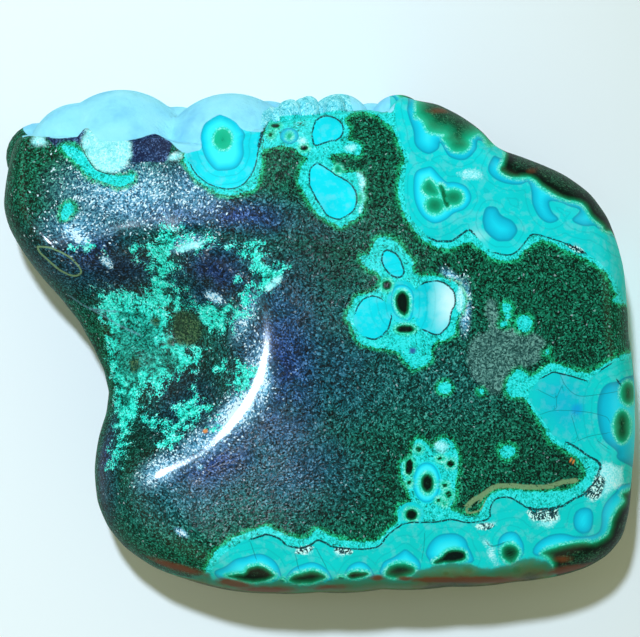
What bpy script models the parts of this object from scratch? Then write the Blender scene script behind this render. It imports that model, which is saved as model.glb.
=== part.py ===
"""A polished chrysocolla and malachite specimen, built as the one stone that it is.

X runs along the stone's long side, Y towards its natural, unpolished far side and Z up from the flat base.
The polished body is a sphere whose points are moved onto the stone's outline and edge profile. The natural
botryoids of the far side, round growths like soap bubbles, are spheres fused to that body.
"""

import math
import random

import bmesh
import bpy
import numpy as np

NAME = "chrysocolla_specimen"
MM = 0.001

# Driving sizes, in millimetres.
THICKNESS = 28.0
GIRDLE_HEIGHT = 12.0
BASE_ROUNDING = 14.0

# The body's outline seen from above, anticlockwise from the right: x, y and how far in the top edge is rounded.
OUTLINE = [
    (48.3, -4.0, 5.5),
    (47.6, 1.0, 5.5),
    (47.3, 6.5, 5.5),
    (46.9, 11.0, 5.5),
    (45.9, 15.0, 5.5),
    (44.4, 19.0, 6.0),
    (41.8, 22.6, 6.5),
    (38.0, 25.4, 6.5),
    (33.0, 27.6, 6.0),
    (28.6, 29.1, 4.5),
    (27.0, 30.0, 4.0),
    (25.0, 32.3, 5.0),
    (22.0, 34.5, 6.0),
    (18.2, 36.4, 5.5),
    (15.0, 36.9, 3.5),
    (12.0, 37.6, 1.2),
    (10.9, 34.6, 1.0),
    (7.4, 35.3, 1.0),
    (4.6, 35.0, 1.0),
    (1.5, 34.6, 1.2),
    (-4.0, 34.0, 1.2),
    (-8.0, 32.8, 1.6),
    (-12.0, 31.8, 2.0),
    (-18.0, 30.6, 2.0),
    (-22.2, 30.4, 1.0),
    (-24.3, 31.5, 0.8),
    (-27.5, 30.7, 0.8),
    (-32.0, 30.4, 0.8),
    (-35.0, 32.4, 0.8),
    (-37.0, 30.9, 0.8),
    (-40.0, 30.7, 0.8),
    (-41.4, 31.9, 0.8),
    (-43.0, 31.4, 1.0),
    (-45.0, 32.0, 1.5),
    (-46.4, 31.4, 2.5),
    (-47.3, 29.0, 3.5),
    (-48.1, 25.0, 4.5),
    (-48.6, 20.8, 6.0),
    (-47.8, 17.5, 8.0),
    (-46.0, 14.3, 10.0),
    (-43.2, 10.4, 12.0),
    (-40.0, 6.8, 12.0),
    (-37.0, 3.0, 12.0),
    (-34.8, -1.0, 12.0),
    (-33.2, -4.5, 12.0),
    (-32.4, -8.0, 12.0),
    (-32.8, -11.2, 12.0),
    (-34.0, -15.0, 13.0),
    (-34.6, -20.0, 14.0),
    (-34.1, -25.0, 14.0),
    (-32.6, -28.6, 13.0),
    (-30.0, -31.8, 12.0),
    (-25.5, -34.9, 10.0),
    (-20.0, -36.9, 8.0),
    (-14.0, -38.4, 6.5),
    (-7.0, -38.9, 5.5),
    (0.0, -38.7, 5.0),
    (10.0, -38.2, 5.0),
    (20.0, -37.8, 5.0),
    (30.0, -37.1, 5.5),
    (37.0, -36.2, 6.5),
    (41.3, -34.9, 7.0),
    (44.5, -33.0, 7.0),
    (46.7, -30.3, 7.0),
    (47.7, -26.5, 6.5),
    (48.2, -20.0, 6.0),
    (48.6, -11.0, 5.5),
]
OUTLINE_BLUR_DEG = 0.8

# Hollows and swellings of the polished face: centre x, y, half-widths, height, how square their shoulders are,
# from 2 for a bell to 4 for a basin with a crest round it, and their turn in degrees.
FACE_FORMS = [
    (-30.8, -2.0, 14.4, 11.6, -7.5, 4.0, 18.0),
    (-38.0, 40.0, 14.0, 15.0, -3.9, 2.0, 0.0),
    (-17.5, 9.5, 3.6, 3.0, 1.0, 2.0, 0.0),
    (-33.0, 12.0, 5.0, 3.0, 0.6, 2.0, 0.0),
]
DOME_X, DOME_Y = (10.0, 40.0, 1.6), (-2.0, 36.0, 1.4)

# The large botryoids of the far side: centre x, y, z and radius.
BOTRYOIDS = [
    (-30.5, 27.5, 11.6, 11.3),
    (-37.0, 29.0, 12.6, 7.7),
    (-13.5, 26.8, 14.0, 11.3),
    (-14.8, 30.3, 21.9, 3.6),
    (3.2, 33.1, 13.0, 5.0),
    (12.3, 33.6, 12.5, 4.4),
    (-43.4, 28.6, 7.4, 5.4),
    (-22.0, 29.0, 8.6, 7.4),
    (-8.0, 31.0, 7.0, 6.4),
    (-21.6, 31.0, 15.4, 3.4),
    (-4.8, 31.6, 16.0, 4.6),
    (8.2, 32.6, 8.0, 4.4),
    (-3.0, 32.6, 19.0, 3.2),
    (1.2, 32.8, 19.6, 3.0),
]

# The rough, coral-like crust between the botryoids: where its knobs sit, as low and high corners, and their sizes.
KNOB_COUNT = 22
KNOB_LOW, KNOB_HIGH = (-4.8, 34.6, 15.6), (3.2, 35.8, 23.4)
KNOB_RADIUS = (1.0, 1.7)
KNOB_SEED = 4

# How finely the solids are faceted: cells along the body's starting cube, and segments and rings of a growth.
BODY_CELLS = 20
DOME_FACETS, KNOB_FACETS = (18, 11), (8, 6)
SMALLEST_DOME = 2.0

# How the sphere that the body starts from is laid over the stone's profile.
TOP_SPAN = math.radians(98.0)
FLAT_SHARE = 0.62
BASE_FLAT_SHARE = 0.5
ROUNDNESS = 2.5

STONE_COLOUR = (0.02, 0.16, 0.13, 1.0)


def clear_scene():
    """Removes whatever the scene holds."""
    for thing in list(bpy.data.objects):
        bpy.data.objects.remove(thing)


def outline_at(angles):
    """The outline's radius and edge rounding at each angle, as one smooth closed curve through OUTLINE."""
    points = np.array(OUTLINE)
    known = np.arctan2(points[:, 1], points[:, 0])
    radius = np.hypot(points[:, 0], points[:, 1])
    steps = 1440
    fine = np.linspace(-math.pi, math.pi, steps, endpoint=False)
    order = np.argsort(known)
    blur = np.radians(OUTLINE_BLUR_DEG)
    turns = np.minimum(np.arange(steps), steps - np.arange(steps)) * 2 * math.pi / steps
    kernel = np.exp(-0.5 * (turns / blur) ** 2)
    kernel /= kernel.sum()
    smooth = []
    for values in (radius, points[:, 2]):
        straight = np.interp(fine, known[order], values[order], period=2 * math.pi)
        rounded = np.fft.irfft(np.fft.rfft(straight) * np.fft.rfft(kernel), steps)
        smooth.append(np.interp(angles, fine, rounded, period=2 * math.pi))
    return smooth


def face_height(x, y):
    """The polished face's height above the base, before its edge is rounded."""
    height = THICKNESS - sum(
        drop * ((value - middle) / reach) ** 2
        for value, (middle, reach, drop) in ((x, DOME_X), (y, DOME_Y))
    )
    for centre_x, centre_y, wide, deep, rise, square, turn in FACE_FORMS:
        cosine, sine = math.cos(math.radians(turn)), math.sin(math.radians(turn))
        across = ((x - centre_x) * cosine + (y - centre_y) * sine) / wide
        along = ((y - centre_y) * cosine - (x - centre_x) * sine) / deep
        height += rise * np.exp(-0.5 * np.hypot(across, along) ** square)
    return height


def profile(share, flat_share):
    """How far in and how high a point lies on an edge profile, from 0 on the flat's centre to 1 on the girdle.

    Returns the share of the way over the flat, and the sine and cosine terms of the rounded edge.
    """
    flat = np.minimum(share / flat_share, 1.0)
    turn = np.clip((share - flat_share) / (1 - flat_share), 0, 1) * math.pi / 2
    return flat, np.sin(turn) ** (2 / ROUNDNESS), np.cos(turn) ** (2 / ROUNDNESS)


def stone_points(directions):
    """Moves unit directions onto the stone's polished body, in millimetres."""
    angle = np.arctan2(directions[:, 1], directions[:, 0])
    tilt = np.arccos(np.clip(directions[:, 2], -1, 1))
    radius, rounding = outline_at(angle)
    above = tilt < TOP_SPAN
    share = np.where(above, tilt / TOP_SPAN, (math.pi - tilt) / (math.pi - TOP_SPAN))
    flat, out, up = profile(share, np.where(above, FLAT_SHARE, BASE_FLAT_SHARE))
    edge = np.where(above, rounding, BASE_ROUNDING)
    reach = flat * (radius - edge) + out * edge
    x, y = reach * np.cos(angle), reach * np.sin(angle)
    top = GIRDLE_HEIGHT + (face_height(x, y) - GIRDLE_HEIGHT) * up
    base = GIRDLE_HEIGHT * (1 - up)
    return np.stack([x, y, np.where(above, top, base)], axis=1)


def make_body():
    """The polished body: a cube cut into cells, puffed into a sphere and moved onto the stone's shape."""
    cells = bmesh.new()
    bmesh.ops.create_cube(cells, size=2)
    bmesh.ops.subdivide_edges(cells, edges=cells.edges[:], cuts=BODY_CELLS - 1, use_grid_fill=True)
    corners = np.tan(np.array([v.co for v in cells.verts]) * math.pi / 4)
    directions = corners / np.linalg.norm(corners, axis=1, keepdims=True)
    for vertex, place in zip(cells.verts, stone_points(directions)):
        vertex.co = place * MM
    mesh = bpy.data.meshes.new(NAME)
    cells.to_mesh(mesh)
    cells.free()
    mesh.shade_smooth()
    return bpy.data.objects.new(NAME, mesh)


def knobs():
    """Centres and radii of the crust's knobs, in the same order every time."""
    draw = random.Random(KNOB_SEED)
    for _ in range(KNOB_COUNT):
        centre = [draw.uniform(low, high) for low, high in zip(KNOB_LOW, KNOB_HIGH)]
        yield (*centre, draw.uniform(*KNOB_RADIUS))


def add_growth(number, growth, collection):
    """One sphere of natural growth, kept out of the render because the body takes it in."""
    x, y, z, radius = growth
    segments, rings = DOME_FACETS if radius > SMALLEST_DOME else KNOB_FACETS
    bpy.ops.mesh.primitive_uv_sphere_add(
        segments=segments,
        ring_count=rings,
        radius=radius * MM,
        location=(x * MM, y * MM, z * MM),
    )
    sphere = bpy.context.object
    sphere.name = f"growth_{number:02d}"
    sphere.hide_render = True
    sphere.display_type = "WIRE"
    for owner in list(sphere.users_collection):
        owner.objects.unlink(sphere)
    collection.objects.link(sphere)


def stone_material():
    """Polished stone, dark green malachite with turquoise chrysocolla."""
    material = bpy.data.materials.new("polished_stone")
    material.use_nodes = True
    shader = material.node_tree.nodes["Principled BSDF"]
    shader.inputs["Base Color"].default_value = STONE_COLOUR
    shader.inputs["Roughness"].default_value = 0.15
    shader.inputs["Metallic"].default_value = 0.0
    return material


def main():
    """Builds the specimen as one closed solid."""
    clear_scene()
    specimen = bpy.data.collections.new("chrysocolla")
    growths = bpy.data.collections.new("growths")
    for collection in (specimen, growths):
        bpy.context.scene.collection.children.link(collection)
    for number, growth in enumerate([*BOTRYOIDS, *knobs()]):
        add_growth(number, growth, growths)
    body = make_body()
    body.data.materials.append(stone_material())
    specimen.objects.link(body)
    fuse = body.modifiers.new("fuse_growths", "BOOLEAN")
    fuse.operation = "UNION"
    fuse.operand_type = "COLLECTION"
    fuse.collection = growths


main()
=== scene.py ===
"""A polished chrysocolla and malachite specimen on a plain white table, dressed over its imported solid.

X runs along the stone's long side, Y towards its natural, unpolished far side and Z up from the flat
base. The mesh repeats the solid's shape with finer cells. The stone's pattern is laid out as a mapmaker
would: every islet of chrysocolla, its fringe, its azure eyes and its green cores is an outline in
millimetres on the polished face. Each mesh vertex keeps its distance to those outlines, and the material
draws the edges from them, roughened with the grain of the mineral. Soft changes of tint are spots that
fade out from their middles.
"""

import logging
import math
import random
from collections.abc import Iterator
from dataclasses import dataclass, field
from enum import Enum
from typing import Any

import bpy
import numpy as np
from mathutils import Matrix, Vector

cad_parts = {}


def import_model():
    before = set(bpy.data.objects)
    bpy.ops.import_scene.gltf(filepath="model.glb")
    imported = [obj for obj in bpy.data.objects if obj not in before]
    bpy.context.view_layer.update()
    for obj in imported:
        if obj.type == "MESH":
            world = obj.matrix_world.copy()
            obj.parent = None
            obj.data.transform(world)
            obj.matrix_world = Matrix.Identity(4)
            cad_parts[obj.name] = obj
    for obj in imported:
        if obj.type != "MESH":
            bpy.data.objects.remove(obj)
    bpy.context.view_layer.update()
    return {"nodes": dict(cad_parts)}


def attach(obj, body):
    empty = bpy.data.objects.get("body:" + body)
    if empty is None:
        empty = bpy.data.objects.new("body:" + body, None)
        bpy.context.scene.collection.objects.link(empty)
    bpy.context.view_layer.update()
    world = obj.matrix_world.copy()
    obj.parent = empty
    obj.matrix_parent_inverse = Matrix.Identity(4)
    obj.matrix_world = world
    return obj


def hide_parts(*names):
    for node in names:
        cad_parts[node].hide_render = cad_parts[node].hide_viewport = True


LOG = logging.getLogger("chrysocolla_scene")
MM = 0.001
NODE = "chrysocolla_specimen"

# Where a search for the nearest outline starts, the least distance to divide by, and the share of an
# oval's reach below which a place counts as its centre.
UNREACHED = 1e9
TINY = 1e-6
SHORTEST_SEGMENT = 1e-9
AT_CENTRE = 1e-3

Point = tuple[float, float]
Place = tuple[float, float, float]
Stops = tuple[tuple[float, str], ...]


class Kind(Enum):
    """What a region of the polished face is, and the name of the mesh attribute that holds its distance."""

    CLEAN = "clean"
    FRINGE = "fringe"
    DENDRITE = "dendrite"
    AZURE = "azure"
    CORE = "core"
    NAVY = "navy"
    PALE = "pale"
    SKIN = "skin"
    CRUST = "crust"
    BRUISE = "bruise"
    OLIVE = "olive"
    CRUMB = "crumb"
    SIDE = "side"


def turned(x: np.ndarray, y: np.ndarray, degrees: float) -> tuple[np.ndarray, np.ndarray]:
    """Offsets from a centre along and across the axes of a form that is turned about it."""
    cosine, sine = math.cos(math.radians(degrees)), math.sin(math.radians(degrees))
    return x * cosine + y * sine, y * cosine - x * sine


def smooth_line(points: np.ndarray, closed: bool, steps: int = 5) -> np.ndarray:
    """Rounds a line through its points with a Catmull-Rom curve.

    Args:
        points: The line's points, one row each.
        closed: Whether the last point joins the first.
        steps: How many points stand for each stretch.

    Returns:
        The finer line, closed on itself where closed is true.
    """
    if closed:
        padded = np.vstack([points[-1:], points, points[:2]])
    else:
        padded = np.vstack([points[:1], points, points[-1:]])
    before, start, end, after = padded[:-3], padded[1:-2], padded[2:-1], padded[3:]
    linear_part = end - before
    square_part = 2 * before - 5 * start + 4 * end - after
    cubic_part = 3 * start - before - 3 * end + after
    fine = []
    for step in range(steps):
        t = step / steps
        fine.append(0.5 * (2 * start + linear_part * t + square_part * t**2 + cubic_part * t**3))
    line = np.stack(fine, axis=1).reshape(-1, points.shape[1])
    return np.vstack([line, line[:1] if closed else points[-1:]])


def close_to(line: np.ndarray, places: np.ndarray, margin: float) -> np.ndarray:
    """Numbers of the places that lie in the line's own box or within the margin round it."""
    low, high = line.min(0) - margin, line.max(0) + margin
    return np.nonzero(np.all((places > low) & (places < high), axis=1))[0]


def segment_distance(
    places: np.ndarray, start: np.ndarray, end: np.ndarray
) -> tuple[np.ndarray, np.ndarray]:
    """Distance of each place to one straight segment, and which side of it the place is on.

    Args:
        places: Places on the face, one row each.
        start: The segment's start.
        end: The segment's end.

    Returns:
        The distances, and the same distances with the sign of the side.
    """
    along = end - start
    length = max(float(np.hypot(*along)), SHORTEST_SEGMENT)
    unit = along / length
    away = places - start
    run = np.clip(away @ unit, 0, length)
    gap = np.hypot(away[:, 0] - run * unit[0], away[:, 1] - run * unit[1])
    side = away[:, 1] * unit[0] - away[:, 0] * unit[1]
    return gap, np.where(side >= 0, gap, -gap)


@dataclass(frozen=True)
class Area:
    """A region of the face inside a smooth outline through points, in millimetres.

    value is what the region adds to its kind: how green the clean chrysocolla is, and for azure eyes,
    cores and the edge band the millimetres over which their colours run from the rim inwards. It is 0 for
    the others.
    """

    points: tuple[Point, ...]
    value: float = 0.0

    def stretch(self, first: Point, last: Point) -> tuple[Point, ...]:
        """The outline's points from one of them to another, in either direction."""
        start, end = self.points.index(first), self.points.index(last)
        if start > end:
            return self.points[end : start + 1][::-1]
        return self.points[start : end + 1]

    def inside(self, places: np.ndarray, reach: float) -> np.ndarray:
        """Signed distance to the outline.

        Args:
            places: Places on the face in millimetres, one row each.
            reach: How far out of the area the distance is worked out.

        Returns:
            Millimetres inside (positive) or outside (negative), no further out than the reach.
        """
        line = smooth_line(np.array(self.points), closed=True)
        near = close_to(line, places, reach)
        close = places[near]
        gap = np.full(len(close), UNREACHED)
        within = np.zeros(len(close), dtype=bool)
        for start, end in zip(line[:-1], line[1:]):
            gap = np.minimum(gap, segment_distance(close, start, end)[0])
            if start[1] != end[1]:
                crosses = (close[:, 1] >= min(start[1], end[1])) & (close[:, 1] < max(start[1], end[1]))
                at = start[0] + (close[:, 1] - start[1]) * (end[0] - start[0]) / (end[1] - start[1])
                within ^= crosses & (close[:, 0] < at)
        result = np.full(len(places), -reach)
        result[near] = np.where(within, gap, -np.minimum(gap, reach))
        return result


@dataclass(frozen=True)
class Oval:
    """An oval region: its centre, its half-widths and its turn in degrees, with a value as an Area has."""

    x: float
    y: float
    wide: float
    high: float
    turn: float = 0.0
    value: float = 0.0

    def inside(self, places: np.ndarray, reach: float) -> np.ndarray:
        """Signed distance to the oval, with the same arguments and result as an Area's."""
        across, up = turned(places[:, 0] - self.x, places[:, 1] - self.y, self.turn)
        share = np.maximum(np.hypot(across / self.wide, up / self.high), TINY)
        radius = np.where(share < AT_CENTRE, min(self.wide, self.high), np.hypot(across, up) / share)
        return np.maximum((1 - share) * radius, -reach)


@dataclass(frozen=True)
class Spot:
    """A soft-edged oval: its centre, its half-widths at one sigma, its turn in degrees and its strength."""

    x: float
    y: float
    wide: float
    high: float
    turn: float
    strength: float

    def mask(self, places: np.ndarray) -> np.ndarray:
        """How strong the spot is at each place."""
        across, up = turned(places[:, 0] - self.x, places[:, 1] - self.y, self.turn)
        return self.strength * np.exp(-0.5 * ((across / self.wide) ** 2 + (up / self.high) ** 2))


@dataclass(frozen=True)
class Trace:
    """An open line on the face, in millimetres: a seam, a crack or a streak, with its half-width."""

    half_width: float
    points: tuple[Point, ...]


# The body's outline seen from above, anticlockwise from the right: x, y and how far in the top edge is
# rounded.
OUTLINE = [
    (48.3, -4.0, 5.5),
    (47.6, 1.0, 5.5),
    (47.3, 6.5, 5.5),
    (46.9, 11.0, 5.5),
    (45.9, 15.0, 5.5),
    (44.4, 19.0, 6.0),
    (41.8, 22.6, 6.5),
    (38.0, 25.4, 6.5),
    (33.0, 27.6, 6.0),
    (28.6, 29.1, 4.5),
    (27.0, 30.0, 4.0),
    (25.0, 32.3, 5.0),
    (22.0, 34.5, 6.0),
    (18.2, 36.4, 5.5),
    (15.0, 36.9, 3.5),
    (12.0, 37.6, 1.2),
    (10.9, 34.6, 1.0),
    (7.4, 35.3, 1.0),
    (4.6, 35.0, 1.0),
    (1.5, 34.6, 1.2),
    (-4.0, 34.0, 1.2),
    (-8.0, 32.8, 1.6),
    (-12.0, 31.8, 2.0),
    (-18.0, 30.6, 2.0),
    (-22.2, 30.4, 1.0),
    (-24.3, 31.5, 0.8),
    (-27.5, 30.7, 0.8),
    (-32.0, 30.4, 0.8),
    (-35.0, 32.4, 0.8),
    (-37.0, 30.9, 0.8),
    (-40.0, 30.7, 0.8),
    (-41.4, 31.9, 0.8),
    (-43.0, 31.4, 1.0),
    (-45.0, 32.0, 1.5),
    (-46.4, 31.4, 2.5),
    (-47.3, 29.0, 3.5),
    (-48.1, 25.0, 4.5),
    (-48.6, 20.8, 6.0),
    (-47.8, 17.5, 8.0),
    (-46.0, 14.3, 10.0),
    (-43.2, 10.4, 12.0),
    (-40.0, 6.8, 12.0),
    (-37.0, 3.0, 12.0),
    (-34.8, -1.0, 12.0),
    (-33.2, -4.5, 12.0),
    (-32.4, -8.0, 12.0),
    (-32.8, -11.2, 12.0),
    (-34.0, -15.0, 13.0),
    (-34.6, -20.0, 14.0),
    (-34.1, -25.0, 14.0),
    (-32.6, -28.6, 13.0),
    (-30.0, -31.8, 12.0),
    (-25.5, -34.9, 10.0),
    (-20.0, -36.9, 8.0),
    (-14.0, -38.4, 6.5),
    (-7.0, -38.9, 5.5),
    (0.0, -38.7, 5.0),
    (10.0, -38.2, 5.0),
    (20.0, -37.8, 5.0),
    (30.0, -37.1, 5.5),
    (37.0, -36.2, 6.5),
    (41.3, -34.9, 7.0),
    (44.5, -33.0, 7.0),
    (46.7, -30.3, 7.0),
    (47.7, -26.5, 6.5),
    (48.2, -20.0, 6.0),
    (48.6, -11.0, 5.5),
]

# Hollows and swellings of the polished face: centre x, y, half-widths, height, how square their shoulders
# are, from 2 for a bell to 4 for a basin with a crest round it, and their turn in degrees.
FACE_FORMS = [
    (-30.8, -2.0, 14.4, 11.6, -7.5, 4.0, 18.0),
    (-38.0, 40.0, 14.0, 15.0, -3.9, 2.0, 0.0),
    (-17.5, 9.5, 3.6, 3.0, 1.0, 2.0, 0.0),
    (-33.0, 12.0, 5.0, 3.0, 0.6, 2.0, 0.0),
]

# The large botryoids of the far side: centre x, y, z and radius.
BOTRYOIDS = [
    (-30.5, 27.5, 11.6, 11.3),
    (-37.0, 29.0, 12.6, 7.7),
    (-13.5, 26.8, 14.0, 11.3),
    (-14.8, 30.3, 21.9, 3.6),
    (3.2, 33.1, 13.0, 5.0),
    (12.3, 33.6, 12.5, 4.4),
    (-43.4, 28.6, 7.4, 5.4),
    (-22.0, 29.0, 8.6, 7.4),
    (-8.0, 31.0, 7.0, 6.4),
    (-21.6, 31.0, 15.4, 3.4),
    (-4.8, 31.6, 16.0, 4.6),
    (8.2, 32.6, 8.0, 4.4),
    (-3.0, 32.6, 19.0, 3.2),
    (1.2, 32.8, 19.6, 3.0),
]

# The rough, coral-like crust between the botryoids: the low and high corners of the box that its knobs'
# middles are drawn from, and the bounds of their radius.
KNOB_COUNT = 22
KNOB_LOW, KNOB_HIGH = (-4.8, 34.6, 15.6), (3.2, 35.8, 23.4)
KNOB_RADIUS = (1.0, 1.7)
KNOB_SEED = 4

# The clean, smooth chrysocolla. The value is its tint, from 0 clear cyan to 1 greener turquoise. Seams
# run along some of these outlines, so those have names.
FAR_CORNER = Area((
    (11.5, 33.3), (12.5, 29.6), (13.6, 27.8), (13.0, 25.2), (12.9, 21.4), (13.9, 18.5), (15.5, 16.6),
    (16.6, 15.5), (17.5, 15.1), (19.8, 15.0), (21.2, 15.9), (22.6, 16.7), (23.2, 16.2), (25.0, 14.3),
    (26.4, 13.3), (28.2, 12.9), (29.2, 13.1), (30.1, 13.8), (31.4, 15.4), (32.1, 16.0), (33.8, 15.7),
    (36.4, 14.9), (37.9, 14.3), (39.9, 13.2), (42.0, 12.0), (44.0, 9.8), (45.3, 7.5), (47.5, 6.0),
    (66.0, 8.0), (62.0, 30.0), (40.0, 50.0), (20.0, 58.0), (12.4, 50.0), (11.7, 40.0),
), value=0.6)
CAP = Area((
    (-20.0, 28.2), (-19.2, 26.4), (-18.3, 25.0), (-16.5, 23.6), (-14.5, 22.95), (-13.0, 22.9),
    (-11.4, 23.5), (-10.1, 25.0), (-9.4, 26.8), (-9.0, 29.0), (-8.5, 31.0), (-9.0, 31.5),
    (-11.1, 31.7), (-12.4, 33.0), (-14.3, 33.95), (-15.3, 33.9), (-17.1, 32.7), (-17.8, 30.9),
    (-17.7, 29.2), (-18.6, 28.5),
))
BEAD = Area((
    (-0.9, 31.5), (-0.3, 33.2), (1.3, 33.8), (3.1, 33.0), (3.75, 31.7), (3.0, 30.4), (1.2, 29.85),
    (-0.5, 29.4), (-0.95, 30.7),
), value=0.05)
DROP = Area((
    (-0.3, 26.75), (1.0, 26.1), (2.6, 24.9), (4.4, 23.9), (5.5, 22.6), (5.7, 21.0), (5.1, 19.5),
    (3.6, 18.5), (2.7, 18.3), (1.2, 19.0), (0.1, 20.6), (-0.9, 22.4), (-1.4, 24.0), (-1.2, 25.9),
))
PETAL = Area((
    (9.35, 12.2), (9.8, 13.4), (10.4, 13.6), (11.8, 12.8), (12.8, 10.6), (12.2, 9.55), (11.0, 9.8),
    (9.9, 11.0),
), value=0.1)
PEARL = Area((
    (15.1, 8.3), (17.0, 9.0), (18.2, 9.0), (20.1, 7.7), (20.5, 5.8), (19.9, 4.3), (19.5, 2.5),
    (18.4, 1.2), (17.5, 1.0), (15.8, 1.6), (14.6, 2.8), (14.5, 5.0), (14.6, 7.0),
), value=0.1)
SHORE = Area((
    (33.5, -5.5), (34.7, -4.9), (35.2, -4.7), (37.0, -5.0), (39.9, -5.9), (41.2, -5.2), (42.5, -4.3),
    (43.8, -3.4), (46.0, -2.9), (66.0, -2.0), (66.0, -60.0), (20.0, -66.0), (-17.6, -60.0),
    (-16.9, -38.0), (-16.3, -35.2), (-15.8, -34.0), (-14.5, -32.2), (-12.5, -30.8), (-11.0, -29.8),
    (-10.0, -29.7), (-8.2, -29.1), (-7.3, -29.1), (-5.8, -29.7), (-4.8, -30.6), (-3.2, -31.0),
    (-1.5, -30.7), (-0.2, -29.9), (0.5, -30.0), (1.8, -30.7), (3.5, -31.0), (6.5, -31.2),
    (9.0, -30.8), (10.0, -29.9), (10.3, -29.2), (11.8, -28.0), (13.0, -27.3), (15.0, -27.2),
    (17.8, -27.1), (20.0, -26.75), (22.0, -27.2), (23.0, -27.4), (24.0, -27.1), (25.6, -26.5),
    (25.7, -25.2), (26.4, -23.8), (27.4, -23.4), (29.0, -23.6), (30.2, -24.3), (31.5, -25.1),
    (33.5, -25.3), (35.5, -25.0), (36.8, -24.6), (38.4, -23.6), (39.8, -22.9), (41.0, -21.7),
    (42.1, -20.4), (41.9, -20.0), (42.3, -18.8), (42.0, -18.1), (40.7, -17.4), (38.9, -16.1),
    (37.4, -15.3), (36.4, -15.2), (35.2, -14.2), (34.2, -12.6), (33.1, -11.0), (32.0, -9.4),
    (31.5, -8.2), (32.2, -6.8),
), value=0.8)
CLEAN = [
    FAR_CORNER,
    CAP,
    BEAD,
    DROP,
    PETAL,
    Oval(8.1, 3.5, 2.8, 3.2, value=0.1),
    PEARL,
    SHORE,
    Oval(13.9, -26.0, 1.9, 1.9, value=0.5),
    Oval(16.3, -21.2, 2.2, 3.2, value=0.3),
    Oval(15.0, -16.2, 0.8, 0.8, value=0.3),
    Oval(19.8, -18.4, 0.9, 0.9, value=0.3),
    Oval(12.6, 5.9, 2.3, 3.2, value=0.2),
]

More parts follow.
